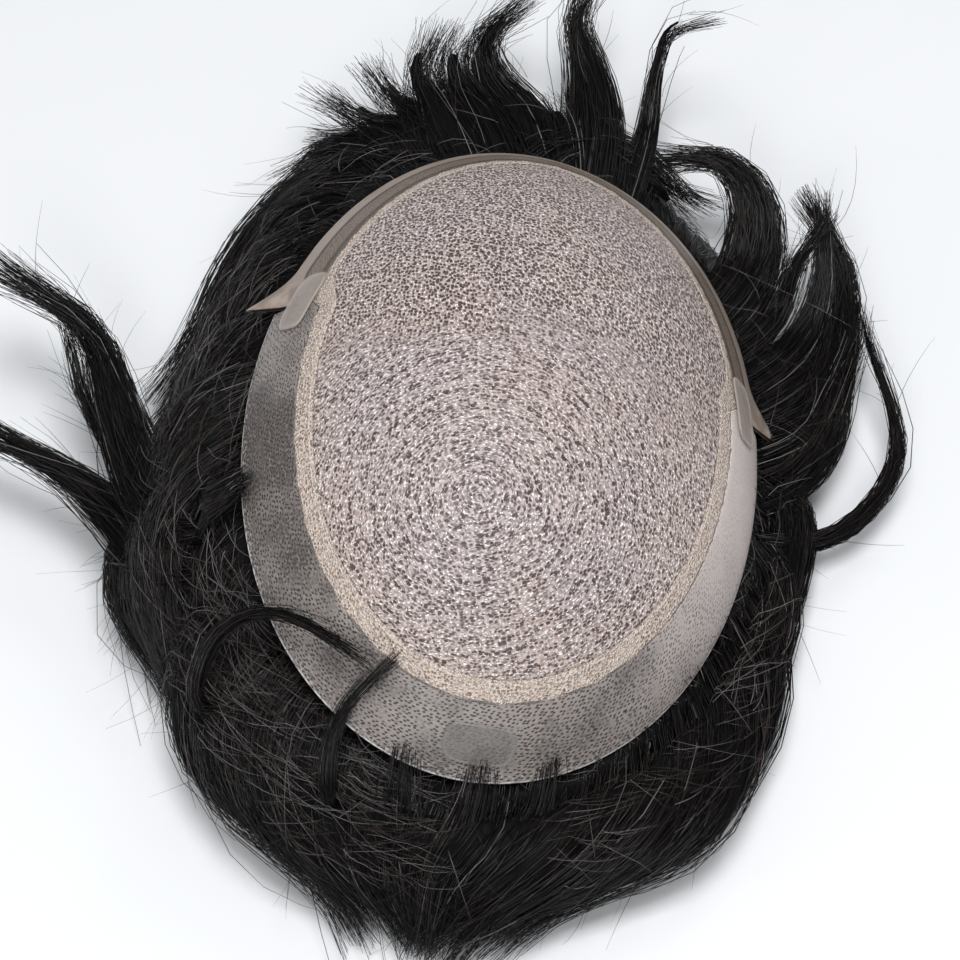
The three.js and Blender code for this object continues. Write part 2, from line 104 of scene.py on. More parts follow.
add_lamp("lamp_above", (0.04, -0.10, 1.1), 0.5, 8.8)
add_lamp("lamp_front", (0.0, -0.95, 0.78), 0.4, 4.2)
add_lamp("lamp_side", (-0.85, -0.45, 0.42), 0.16, 0.6)
add_lamp("lamp_back", (0.35, 0.85, 0.7), 0.4, 1.5)

# %% [markdown]
# ## Writing finishes as sums
#
# A finish is a tree of nodes. Wrapping a socket in a small class lets the tree be written as
# ordinary sums, so a row of holes is a sine times a sine. Everything else goes through one
# method, which sets a node's options and then fills its sockets.

# %% A socket that can be used in sums
class Value:
    def __init__(self, shade, socket):
        self.shade = shade
        self.socket = socket

    def maths(self, operation, *terms):
        return self.shade.node("Math", {"operation": operation}, dict(enumerate(terms)))

    def __add__(self, other):
        return self.maths("ADD", self, other)

    def __sub__(self, other):
        return self.maths("SUBTRACT", self, other)

    def __rsub__(self, other):
        return self.maths("SUBTRACT", other, self)

    def __mul__(self, other):
        return self.maths("MULTIPLY", self, other)

    def __truediv__(self, other):
        return self.maths("DIVIDE", self, other)

    def __rtruediv__(self, other):
        return self.maths("DIVIDE", other, self)

    def __pow__(self, power):
        return self.maths("POWER", self, power)

    __radd__ = __add__
    __rmul__ = __mul__

    def sine(self):
        return self.maths("SINE", self)

    def floor(self):
        return self.maths("FLOOR", self)

    def fraction(self):
        return self.maths("FRACT", self)

    def size(self):
        return self.maths("ABSOLUTE", self)

    def between(self, low, high):
        """0 at low and 1 at high, with a soft change."""
        sockets = {"Value": self, "From Min": low, "From Max": high}
        return self.shade.node("MapRange", {"interpolation_type": "SMOOTHSTEP"}, sockets)


# %% One material's nodes
class Shade:
    def __init__(self, name):
        self.material = bpy.data.materials.new(name)
        self.material.use_nodes = True
        self.tree = self.material.node_tree
        self.surface = self.tree.nodes["Principled BSDF"]

    def feed(self, socket, value):
        if isinstance(value, Value):
            self.tree.links.new(value.socket, socket)
        elif socket.type == "RGBA":
            socket.default_value = (*value, 1)
        else:
            socket.default_value = value

    def node(self, kind, settings=None, sockets=None, output=0):
        made = self.tree.nodes.new("ShaderNode" + kind)
        for name, value in (settings or {}).items():
            setattr(made, name, value)
        for name, value in (sockets or {}).items():
            self.feed(made.inputs[name], value)
        return Value(self, made.outputs[output])

    def mark(self, name):
        """Three numbers that were stored on the mesh, after a flat place made of the first two."""
        stored = self.node("Attribute", {"attribute_name": name}, output=1)
        numbers = [self.node("SeparateXYZ", sockets={0: stored}, output=axis) for axis in range(3)]
        return self.vector(*numbers[:2]), *numbers

    def vector(self, x, y):
        return self.node("CombineXYZ", sockets={0: x, 1: y})

    def noise(self, vector, scale, detail=2.0):
        return self.node("TexNoise", sockets={"Vector": vector, "Scale": scale, "Detail": detail})

    def chance(self, vector):
        return self.node("TexWhiteNoise", sockets={"Vector": vector})

    def dots(self, vector, scale, scatter):
        sockets = {"Vector": vector, "Scale": scale, "Randomness": scatter}
        return self.node("TexVoronoi", {"voronoi_dimensions": "2D"}, sockets)

    def mix(self, share, first, second):
        return self.node("Mix", {"data_type": "RGBA"}, {0: share, 6: first, 7: second}, output=2)

    def relief(self, height, depth):
        return self.node("Bump", sockets={"Height": height, "Distance": depth})

    def finish(self, **sockets):
        for name, value in sockets.items():
            self.feed(self.surface.inputs[name.replace("_", " ")], value)
        print("finish", self.material.name, "with", len(self.tree.nodes), "nodes")
        return self.material


# %% [markdown]
# ## Table
#
# The table is a plain pale sheet. It isn't part of the object.

# %% Table
def table_finish():
    shade = Shade("table_finish")
    place = shade.node("TexCoord", output=3)
    cloud = shade.noise(place, 1.5)
    tone = shade.mix(cloud, (0.80, 0.815, 0.84), (0.84, 0.85, 0.865))
    return shade.finish(Base_Color=tone, Roughness=0.6)


table_reach = 3.0
table_drop = 0.1 * mm
table_mesh = bpy.data.meshes.new("table")
table_signs = ((-1, -1), (1, -1), (1, 1), (-1, 1))
table_corners = [(x * table_reach, y * table_reach, -table_drop) for x, y in table_signs]
table_mesh.from_pydata(table_corners, [], [(0, 1, 2, 3)])
table_mesh.materials.append(table_finish())
add_object("table", table_mesh)

# %% [markdown]
# ## The base's form
#
# Such a base is measured over its curve, 6 by 8 inches. Every point of it is given by an angle
# round the crown, a distance down the curve and a lift off it, so a strip is two distances and
# some angles. These are the frame's own sizes.

# %% Sizes of the base
base_length = 203.2 * mm
base_width = 152.4 * mm
front_squareness = 1.75
back_squareness = 1.98
side_radius = 68 * mm
front_radius = 125 * mm
back_radius = 113 * mm
crown_height = 66 * mm
lean = np.radians(10.7)

lace_width = 13.5 * mm
band_width = 17.5 * mm
binding_width = 5.5 * mm
line_width = 3 * mm
narrowing_start = 60
narrowing_turn = 15
lace_middle = 87
lace_half_angle = 71
seam_turn = 3
band_set_back = 0.4
lace_tip_reach = 7.5 * mm
lace_tip_angle = 13
lace_tip_rise = 4.5 * mm

net_thickness = 1.4 * mm
binding_thickness = 1.6 * mm
film_thickness = 0.5 * mm
lace_thickness = 0.6 * mm
seam_gap = 0.35 * mm
sewn_lap = 0.4 * mm
cloth_depth = binding_thickness

side_depth = side_radius * (1 - np.cos(base_width / 2 / side_radius))
crown = np.array([side_depth * np.sin(lean), 0, crown_height])
leaning = np.array([[np.cos(lean), 0, np.sin(lean)], [0, 1, 0], [-np.sin(lean), 0, np.cos(lean)]])


# %% Points and distances on the dome
def dome_point(angle, along, lift=0.0):
    across, ahead = np.cos(angle), np.sin(angle)
    length_radius = np.where(ahead > 0, front_radius, back_radius)
    radius = 1 / (across**2 / side_radius + ahead**2 / length_radius)
    turn = along / radius
    out = (radius + lift) * np.sin(turn)
    down = (radius + lift) * np.cos(turn) - radius
    return np.stack([out * across, out * ahead, down], axis=-1) @ leaning.T + crown


def rim_distance(angle):
    power = np.where(np.sin(angle) > 0, front_squareness, back_squareness)
    across = (2 * np.abs(np.cos(angle)) / base_width) ** power
    ahead = (2 * np.abs(np.sin(angle)) / base_length) ** power
    return (across + ahead) ** (-1 / power)


def degrees_from_front(angle):
    turn = angle - np.radians(lace_middle)
    return np.degrees(np.abs(np.arctan2(np.sin(turn), np.cos(turn))))


def frontness(angle):
    return 1 - np.clip((degrees_from_front(angle) - lace_half_angle) / seam_turn, 0, 1)


def blend(low, high, share):
    return low + (high - low) * share


def seam_distance(angle):
    return rim_distance(angle) - blend(band_width, lace_width, frontness(angle)) - seam_gap


def net_distance(angle):
    """The net's edge is one smooth oval, so the binding is widest where film and lace meet."""
    forward = 1 - np.clip((degrees_from_front(angle) - narrowing_start) / narrowing_turn, 0, 1)
    narrowing = forward**2 * (3 - 2 * forward)
    border = blend(band_width + binding_width, lace_width + line_width, narrowing)
    return rim_distance(angle) - border - 2 * seam_gap


def tip_share(angle):
    return np.clip((degrees_from_front(angle) - lace_half_angle) / lace_tip_angle + 1, 0, 1) ** 2


def lace_distance(angle):
    return rim_distance(angle) + lace_tip_reach * tip_share(angle)


round_angles = np.radians(np.arange(0, 360, 1.0))
print("rim over the curve in mm:", np.round(rim_distance(np.radians([0, 90, 180, 270])) / mm, 1))


# %% [markdown]
# ## Bodies from rings
#
# Every visible piece here is a closed body made from rings of points. A strip is a thin section
# carried round the dome, the net is a stack of rings out and back, and a hair is a three-sided
# tube. Each point also stores a mark of three numbers, which the finish reads, so that a weave
# follows the cloth and not the room.

# %% Rings to triangles
def ring_triangles(count, sides, closed=False):
    rings = np.arange(count if closed else count - 1)
    ring, side = (grid.ravel() for grid in np.meshgrid(rings, np.arange(sides), indexing="ij"))
    after, beside = (ring + 1) % count * sides, (side + 1) % sides
    ring = ring * sides
    near = np.stack([ring + side, ring + beside, after + beside], axis=-1)
    far = np.stack([ring + side, after + beside, after + side], axis=-1)
    return np.concatenate([near, far])


def stack(rings, marks, closed=False):
    """A body from rings [count, sides, 3]. An open stack gets a fan of triangles on each end."""
    count, sides = rings.shape[:2]
    points, notes = rings.reshape(-1, 3), marks.reshape(-1, 3)
    faces = ring_triangles(count, sides, closed)
    if closed:
        return points, notes, faces
    side = np.arange(sides)
    beside = (side + 1) % sides
    start, first = (count - 1) * sides, len(points)
    head = np.stack([np.full(sides, first), beside, side], axis=-1)
    tail = np.stack([np.full(sides, first + 1), start + side, start + beside], axis=-1)
    points = np.concatenate([points, rings[[0, -1]].mean(axis=1)])
    notes = np.concatenate([notes, marks[[0, -1]].mean(axis=1)])
    return points, notes, np.concatenate([faces, head, tail])


def together(bodies):
    shift = np.cumsum([0] + [len(points) for points, _, _ in bodies])
    points = np.concatenate([body[0] for body in bodies])
    notes = np.concatenate([body[1] for body in bodies])
    return points, notes, np.concatenate([body[2] + start for body, start in zip(bodies, shift)])


# %% Bodies to pieces
def signed_volume(points, faces):
    a, b, c = (points[faces[:, corner]] for corner in range(3))
    return (a * np.cross(b, c)).sum() / 6


piece_triangles = {}


def add_piece(name, body, mark, finish, nodes=()):
    points, notes, faces = body
    if signed_volume(points, faces) < 0:
        faces = faces[:, ::-1]
    mesh = bpy.data.meshes.new(name)
    mesh.vertices.add(len(points))
    mesh.vertices.foreach_set("co", points.astype(np.float32).ravel())
    mesh.loops.add(faces.size)
    mesh.loops.foreach_set("vertex_index", faces.astype(np.int32).ravel())
    mesh.polygons.add(len(faces))
    mesh.polygons.foreach_set("loop_start", np.arange(0, faces.size, 3, dtype=np.int32))
    mesh.polygons.foreach_set("use_smooth", np.ones(len(faces), dtype=bool))
    mesh.update(calc_edges=True)
    stored = mesh.attributes.new(mark, "FLOAT_VECTOR", "POINT")
    stored.data.foreach_set("vector", notes.astype(np.float32).ravel())
    mesh.materials.append(finish)
    piece = add_object(name, mesh)
    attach(piece, "root")
    if nodes:
        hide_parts(*nodes)
    piece_triangles[name] = len(faces)
    print(name, "has", len(faces), "triangles")
    return piece


# %% [markdown]
# ## Net panel
#
# The middle is a stretched net over a lining. The two nets beat against each other, so the
# pinholes stand in rows at the front and in rings round the back of the crown. Here the mark is
# the place on the flat cloth. Each stitch of a grid in front, or of a ring behind, has a pinhole
# and a raised thread whose near-white colour is a painted highlight, both strewn a little off
# their rows, and every few rings look darker.

# %% Net finish
grid_width = 1.15 * mm
grid_length = 1.5 * mm
ring_pitch = 1.05 * mm
stitches_per_ring = 4
beat_rings = 2.5
ring_middle = (-7.7 * mm, -38.5 * mm)


def knit(shade, across, along):
    """A pinhole and a raised thread with a painted highlight for about each stitch, where one step is one
    stitch.
    """
    stitch = shade.vector(across, along)
    chance = shade.chance(shade.vector(across.floor(), along.floor()))
    hole = shade.dots(stitch, 1.3, 0.85).between(0.55, 0.16) * (chance * 0.8 + 0.4)
    loop_and_painted_glint = shade.dots(stitch, 1.5, 1.0).between(0.48, 0.12) * (1.35 - chance * 0.6)
    return hole, loop_and_painted_glint


def net_finish():
    shade = Shade("net_finish")
    flat, x, y, share = shade.mark("flat")
    patchy = shade.noise(flat, 110, 3.0)
    drift = (shade.noise(flat, 280) - 0.5) * 1.8 * mm
    across, ahead = x - ring_middle[0] + drift, y - ring_middle[1] + drift * 0.6
    ring = (across**2 + ahead**2) ** 0.5 / ring_pitch
    turn = shade.node("Math", {"operation": "ARCTAN2"}, {0: ahead, 1: across}) / (2 * np.pi)
    round_ring = turn * ((ring.floor() + 0.5) * stitches_per_ring).floor()
    ring_hole, ring_loop_and_painted_glint = knit(shade, round_ring, ring)
    slant = y + x * 0.3 + drift * 0.5
    grid_hole, grid_loop_and_painted_glint = knit(shade, (x + drift * 0.5) / grid_width, slant / grid_length)
    front = (y + (shade.noise(flat, 40) - 0.5) * 50 * mm).between(-12 * mm, 20 * mm)
    beat = (ring * (2 * np.pi / beat_rings)).sine() * (1 - front) * patchy.between(0.35, 0.6)
    fibre = shade.noise(flat, 1350, 3.0)
    strength = patchy * 0.7 + fibre * 0.5 + 0.2 + beat * 0.35 + front * 0.25
    hole = (ring_hole * (1 - front) + grid_hole * front) * strength
    loop_and_painted_glint = (ring_loop_and_painted_glint * (1 - front) + grid_loop_and_painted_glint * front) * (1 - hole * 0.6)
    cloudy = shade.noise(flat, 34, 3.0)
    warmth = cloudy.between(0.38, 0.66) + share.between(0.72, 1.0) + front * 0.5
    warm = shade.mix(warmth.between(0.0, 1.4), (0.33, 0.262, 0.262), (0.40, 0.295, 0.25))
    thread = shade.mix(fibre.between(0.38, 0.62) * (0.85 - beat * 0.3), warm, (0.60, 0.505, 0.49))
    # Near-white spots on the threads are painted highlights, standing in for glints of light.
    thread_with_painted_glints = shade.mix((loop_and_painted_glint * fibre.between(0.3, 0.58)).between(0.2, 0.9), thread, (0.99, 0.94, 0.925))
    tone = shade.mix(hole.between(0.0, 0.8), thread_with_painted_glints, (0.066, 0.042, 0.038))
    height = 1 - hole * 0.8 + loop_and_painted_glint * 0.5 + fibre * 0.3
    return shade.finish(
        Base_Color=tone,
        Roughness=0.48 - loop_and_painted_glint * 0.2,
        Normal=shade.relief(height, 0.36 * mm),
        Specular_IOR_Level=0.8,
    )


# %% Net panel
def edge_push(turn, half):
    """How far the edge of a cloth stands in at a turn round it: full, with small round corners."""
    return half * (np.sin(turn) ** 0.3 - 1)


def cap_body(outer, lift, thickness, rows, edge_steps=4):
    """The dome out to a distance, with a rounded edge, as rings from under the crown and back over it."""
    half = thickness / 2
    angles = np.radians(np.arange(0, 360, 1.25))
    shares = np.linspace(0, 1, rows + 1)[1:]
    turns = np.linspace(0, np.pi, edge_steps + 2)[1:-1]
    section = [(share, 0, -thickness) for share in shares[::6]] + [(1, -half, -thickness)]
    section += [(1, edge_push(turn, half), half * (-1 - np.cos(turn))) for turn in turns]
    section += [(1, -half, 0)] + [(share, 0, 0) for share in shares[-2::-1]]
    share, push, drop = (np.array(column)[:, None] for column in zip(*section))
    along = share * outer(angles) + push
    rings = dome_point(angles, along, lift + drop)
    flat = (along * np.cos(angles), along * np.sin(angles), share * np.ones_like(angles))
    return stack(rings, np.stack(flat, axis=-1))


net_panel = add_piece(
    "net_cloth", cap_body(net_distance, 0, net_thickness, 74), "flat", net_finish(), ["net_panel"]
)

# %% [markdown]
# ## Binding, film band and lace
#
# Each strip is one thin section with rounded edges, carried round the dome between two
# distances, and laps a little over its neighbour as a sewn edge does. Film and lace are thinner
# than in the frame, as real ones are. The mark is the run along the strip, the way across it, and
# that way as a share, so stitches and rows of knots follow the strip.

# %% Strips
def strip_section(rows, thickness, edge_steps=3):
    """Share across, push outwards and drop below the face, once round a section with round edges."""
    half = thickness / 2
    shares = np.linspace(0, 1, rows + 1)
    turns = np.linspace(0, np.pi, edge_steps + 2)[1:-1]
    face = [(share, half - share * thickness, 0) for share in shares]
    outer = [(1, edge_push(turn, half), half * (1 - np.cos(turn))) for turn in turns]
    back = [(share, half - share * thickness, thickness) for share in shares[::-1]]
    inner = [(0, -edge_push(turn, half), half * (1 + np.cos(turn))) for turn in turns]
    return np.array(face + outer + back + inner)


def strip_body(angles, inner, outer, thickness, rows, rise=0.0, closed=False):
    share, push, drop = strip_section(rows, thickness).T
    near, far = inner(angles)[:, None], outer(angles)[:, None]
    along = blend(near, far, share) + push
    lift = np.atleast_1d(rise)[:, None] * share**3 - drop
    rings = dome_point(angles[:, None], along, lift)
    middle = dome_point(angles, blend(inner(angles), outer(angles), 0.5))
    run = np.concatenate([[0], np.cumsum(np.linalg.norm(np.diff(middle, axis=0), axis=1))])
    marks = np.stack(np.broadcast_arrays(run[:, None], along - near, share), axis=-1)
    return stack(rings, marks, closed), run[-1]


def turned(start, end, step=0.75):
    return np.radians(np.linspace(start, end, int((end - start) / step) + 1))


# %% Binding finish
def binding_finish():
    """Peach net folded double. Its outer edge is scalloped, which shows the film in the dips."""
    shade = Shade("binding_finish")
    strip, run, across, share = shade.mark("strip")
    hole, loop_and_painted_glint = knit(shade, run / (1.05 * mm), across / (0.95 * mm))
    patches = shade.noise(strip, 160, 3.0)
    fibre = shade.noise(strip, 1700, 3.0)
    peach = shade.mix(patches.between(0.35, 0.65), (0.47, 0.365, 0.305), (0.58, 0.45, 0.365))
    thread = shade.mix(fibre.between(0.34, 0.66) * 0.8, peach, (0.70, 0.58, 0.49))
    # Near-white spots on the threads are painted highlights, standing in for glints of light.
    thread_with_painted_glints = shade.mix(loop_and_painted_glint * fibre.between(0.2, 0.6) * 0.9, thread, (0.97, 0.90, 0.84))
    speckled = shade.mix(hole * patches.between(0.2, 0.6) * 0.8, thread_with_painted_glints, (0.13, 0.09, 0.075))
    stitch = (share - 0.1).size().between(0.09, 0.03) * patches.between(0.42, 0.58)
    sewn = shade.mix(stitch * 0.6, speckled, (0.84, 0.74, 0.67))
    scallop = 0.96 + ((run / (1.7 * mm)).sine() * 0.03 + (patches - 0.5) * 0.16)
    tone = shade.mix((share - scallop).between(-0.02, 0.05), sewn, (0.21, 0.19, 0.18))
    height = loop_and_painted_glint * 0.5 - hole * 0.6 + fibre * 0.3 + stitch * 0.4
    return shade.finish(
        Base_Color=tone,
        Roughness=0.5,
        Normal=shade.relief(height, 0.4 * mm),
        Specular_IOR_Level=0.5,
    )


# %% Film finish
def film_finish(full_run):
    """Grey film over rows of tied hair, palest at its two ends, with a painted highlight along its outer
    cut edge.
    """
    shade = Shade("film_finish")
    strip, run, across, share = shade.mark("strip")
    drift = (shade.noise(strip, 90) - 0.5) * 1.6 * mm
    row_run, row_across = run + across * 0.9 + drift, across - run * 0.15 + drift
    rows = shade.vector(row_run / (1.35 * mm), row_across / (0.85 * mm))
    fine = shade.noise(strip, 1250, 3.0)
    under_film = shade.noise(strip, 240).between(0.2, 0.55)
    knots = shade.dots(rows, 1.0, 0.6).between(0.42, 0.12) * under_film
    tail = shade.noise(shade.vector(run + across * 1.5, across * 0.35), 1500)
    # Along its run the film turns paler towards its far end, and a little at its start, with fewer knots
    # and less haze near the far end.
    far_end_paling = (run / full_run + (shade.noise(strip, 45) - 0.5) * 0.12).between(0.6, 0.92)
    brightening = (run / full_run).between(0.1, 0.55) * 0.22 + (run / full_run).between(0.15, 0.02) * 0.3
    under = shade.noise(strip, 60, 3.0) + brightening - 0.12
    grey = shade.mix(under.between(0.34, 0.68), (0.094, 0.080, 0.074), (0.275, 0.242, 0.226))
    paled_far_end = shade.mix(far_end_paling, grey, (0.62, 0.545, 0.52))
    mist = fine.between(0.46, 0.66) * (0.3 + share.between(0.82, 1.0) * 0.9) * (1 - far_end_paling * 0.6)
    misty = shade.mix(mist, paled_far_end, (0.44, 0.39, 0.375))
    dark = (knots * (0.55 + fine * 0.6) + tail.between(0.6, 0.7) * 0.45) * (1 - far_end_paling * 0.75)
    tied = shade.mix(dark.between(0.0, 0.75), misty, (0.034, 0.028, 0.025))
    # The thin pale line along the outer cut edge is a painted highlight, where the edge catches the light.
    edge = share.between(0.982, 0.995) * shade.noise(strip, 700).between(0.3, 0.6)
    tone = shade.mix(edge, tied, (0.72, 0.72, 0.71))
    height = fine * 0.5 - knots * 0.3
    return shade.finish(
        Base_Color=tone,
        Roughness=0.34 + fine * 0.2,
        Normal=shade.relief(height, 0.12 * mm),
        Specular_IOR_Level=0.5,
    )


# %% Lace finish
def lace_finish(half_run):
    """Fine net near the seam, a plain border outside it, and paler worn tips at the two ends."""
    shade = Shade("lace_finish")
    strip, run, across, share = shade.mark("strip")
    end = (run - half_run).size() / half_run
    weave_a = ((run + across * 1.4) / (0.95 * mm)).fraction()
    weave_b = ((run - across * 1.4) / (0.95 * mm)).fraction()
    threads = (weave_a - 0.5).size().between(0.2, 0.44)
    mesh = threads + (weave_b - 0.5).size().between(0.2, 0.44) * (1 - threads)
    patches = shade.noise(strip, 150, 3.0)
    fibre = shade.noise(strip, 1500, 3.0)
    net = shade.mix(mesh * fibre.between(0.25, 0.6), (0.080, 0.056, 0.045), (0.33, 0.255, 0.205))
    border_start = 0.62 - end.between(0.86, 1.0) * 0.5
    border = (share - border_start).between(-0.03, 0.03)
    plain = shade.mix((patches + fibre) * 0.5, (0.21, 0.165, 0.135), (0.40, 0.33, 0.28))
    body = shade.mix(border, net, plain)
    outer_line = (share - border_start + 0.06).size().between(0.055, 0.02)
    inner_line = (share - 0.07).size().between(0.09, 0.03)
    seam = (outer_line + inner_line) * fibre.between(0.35, 0.55)
    sewn = shade.mix(seam * 0.85, body, (0.030, 0.018, 0.013))
    worn = shade.mix(patches.between(0.4, 0.62), (0.24, 0.185, 0.155), (0.40, 0.33, 0.28))
    tip = shade.mix(end.between(0.88, 0.96), sewn, worn)
    rim = shade.mix(share.between(0.95, 0.99) * patches.between(0.35, 0.55), tip, (0.52, 0.45, 0.41))
    height = mesh * (1 - border) * 0.6 + patches * 0.4 - seam * 0.5
    return shade.finish(
        Base_Color=rim,
        Roughness=0.45,
        Normal=shade.relief(height, 0.25 * mm),
        Specular_IOR_Level=0.45,
    )


# %% Binding, band and lace pieces
binding_bump = 0.16 * mm
binding_angles = np.append(round_angles, np.radians(359.95))
bumps = binding_bump * np.sin(binding_angles * 97) * np.sin(binding_angles * 31 + 1)
binding_body, binding_run = strip_body(
    binding_angles, lambda angle: net_distance(angle) - sewn_lap, seam_distance, binding_thickness, 6,
    rise=bumps, closed=True,
)
binding = add_piece("binding_strip", binding_body, "strip", binding_finish(), ["edge_binding"])

band_start = lace_middle + lace_half_angle + band_set_back
band_angles = turned(band_start, band_start + 360 - 2 * (lace_half_angle + band_set_back))
band_body, band_run = strip_body(
    band_angles, lambda angle: seam_distance(angle) - sewn_lap, rim_distance, film_thickness, 10
)
band = add_piece("film_band", band_body, "strip", film_finish(band_run), ["poly_band"])

lace_angles = turned(lace_middle - lace_half_angle, lace_middle + lace_half_angle)
lace_body, lace_run = strip_body(
    lace_angles, lambda angle: seam_distance(angle) - sewn_lap, lace_distance, lace_thickness, 10,
    rise=lace_tip_rise * tip_share(lace_angles),
)
lace = add_piece("lace_strip", lace_body, "strip", lace_finish(lace_run / 2), ["lace_front"])
runs = (binding_run, band_run, lace_run)
print("runs of binding, band and lace in mm:", [round(run / mm) for run in runs])

# %% [markdown]
# ## Tabs and label
#
# A small rounded overlay covers each place where lace and film meet, and a clear patch sits on
# the band at the back. They are thin see-through films, each drawn in its own colour and partly
# clear, with a pale line along the cut edge that is a painted highlight. The label is left blank.

# %% Patches
tab_length = 19 * mm
tab_width = 9 * mm
tab_inset = 6.5 * mm
label_length = 18 * mm
label_width = 9 * mm
label_inset = 4.5 * mm
label_degrees = -88
patch_gap = 0.4 * mm
patch_thickness = 0.5 * mm


def squared(value):
    """A sine or cosine made fuller, so that a circle becomes a square with round corners."""
    return np.sign(value) * np.sqrt(np.abs(value))


def patch_body(angle, distance, length, width, sides=56, rows=9):
    """A patch with rounded corners, as rings from its underside's middle round the edge to its top."""
    around = np.linspace(0, 2 * np.pi, sides, endpoint=False)
    shares = np.linspace(0.08, 1, rows)
    section = [(share, 0) for share in shares] + [(1.02, patch_thickness / 2)]
    section += [(share, patch_thickness) for share in shares[::-1]]
    rings, marks = [], []
    for share, lift in section:
        along = distance + squared(np.sin(around)) * width / 2 * share
        turn = angle - squared(np.cos(around)) * length / 2 / along * share
        rings.append(dome_point(turn, along, patch_gap + lift))
        marks.append(np.stack([(turn - angle) * along, along - distance, np.full(sides, share)], axis=-1))
    return stack(np.array(rings), np.array(marks))


def patch_finish(name, middle, outline, speckle, cover):
    shade = Shade(name)
    flat, _, _, share = shade.mark("patch")
    fine = shade.noise(flat, 1100, 3.0)
    cloudy = shade.noise(flat, 160)
    body = shade.mix((fine * 0.6 + cloudy * 0.4).between(0.35, 0.65), middle, speckle)
    # The pale line along the cut edge is a painted highlight.
    edge = share.between(0.86, 0.97) * cloudy.between(0.3, 0.45)
    tone = shade.mix(edge, body, outline)
    return shade.finish(
        Base_Color=tone,
        Roughness=0.3 + fine * 0.15,
        Normal=shade.relief(fine + edge, 0.12 * mm),
        Alpha=cover,
    )


# Colours of the middle, of the cut edge's painted highlight, and of the speckle.
tab_colours = ((0.40, 0.34, 0.305), (0.56, 0.49, 0.45), (0.50, 0.43, 0.39))
tab_finish = patch_finish("tab_finish", *tab_colours, 0.5)
for side, turn in (("left", 1), ("right", -1)):
    tab_angle = np.radians(lace_middle + turn * lace_half_angle)
    distance = rim_distance(tab_angle) - tab_inset - tab_width / 2
    body = patch_body(tab_angle, distance, tab_length, tab_width)
    add_piece("tab_film_" + side, body, "patch", tab_finish, ["join_tab_" + side])

label_colours = ((0.17, 0.16, 0.152), (0.33, 0.32, 0.31), (0.30, 0.285, 0.275))
label_finish = patch_finish("label_finish", *label_colours, 0.32)
label_angle = np.radians(label_degrees)
label_distance = rim_distance(label_angle) - label_inset - label_width / 2
label_body = patch_body(label_angle, label_distance, label_length, label_width)
label = add_piece("label_film", label_body, "patch", label_finish, ["size_label"])

# %% [markdown]
# ## The cloth cut flat
#
# The net is cut as one flat oval, and its flat size and area are worked out and printed. The
# binding is a hem on it. The band and the lace are strips.

# %% Sheets
def flat_area(outer):
    """Area of a flat cut out to a distance from its middle."""
    angles = np.radians(np.arange(0, 361, 1.0))
    rings = outer(angles) ** 2 / 2
    return float(((rings[1:] + rings[:-1]) / 2 * np.diff(angles)).sum())


net_flat = (2 * net_distance(0.0), float(net_distance(np.pi / 2) + net_distance(-np.pi / 2)))
net_area = flat_area(net_distance)
print("net cut flat in mm:", [round(float(value) / mm) for value in net_flat])
print("net area in square cm:", round(net_area * 1e4))

# %% [markdown]
# ## Guides for the hair
#
# Hair falls in locks, and every hair in a lock follows its middle line. So each lock is one row
# of a table: where it starts under the rim, how wide and deep it is, and the stations that it
# passes, given as an angle, a reach past the rim and a height. These are the frame's own locks.
# A smooth line through the stations gives a guide, and a guide half way between two others
# joins them into one sweep. The tips of a few locks lean together, so that they meet.

# %% Table of locks
hair_spread = 60 * mm
hair_loft = 40 * mm
lock_width = 18 * mm
lock_depth = 9 * mm
root_tuck = 9 * mm
tip_fullness = 0.22
root_fullness = 0.75
swell_share = 0.8
taper_power = 4

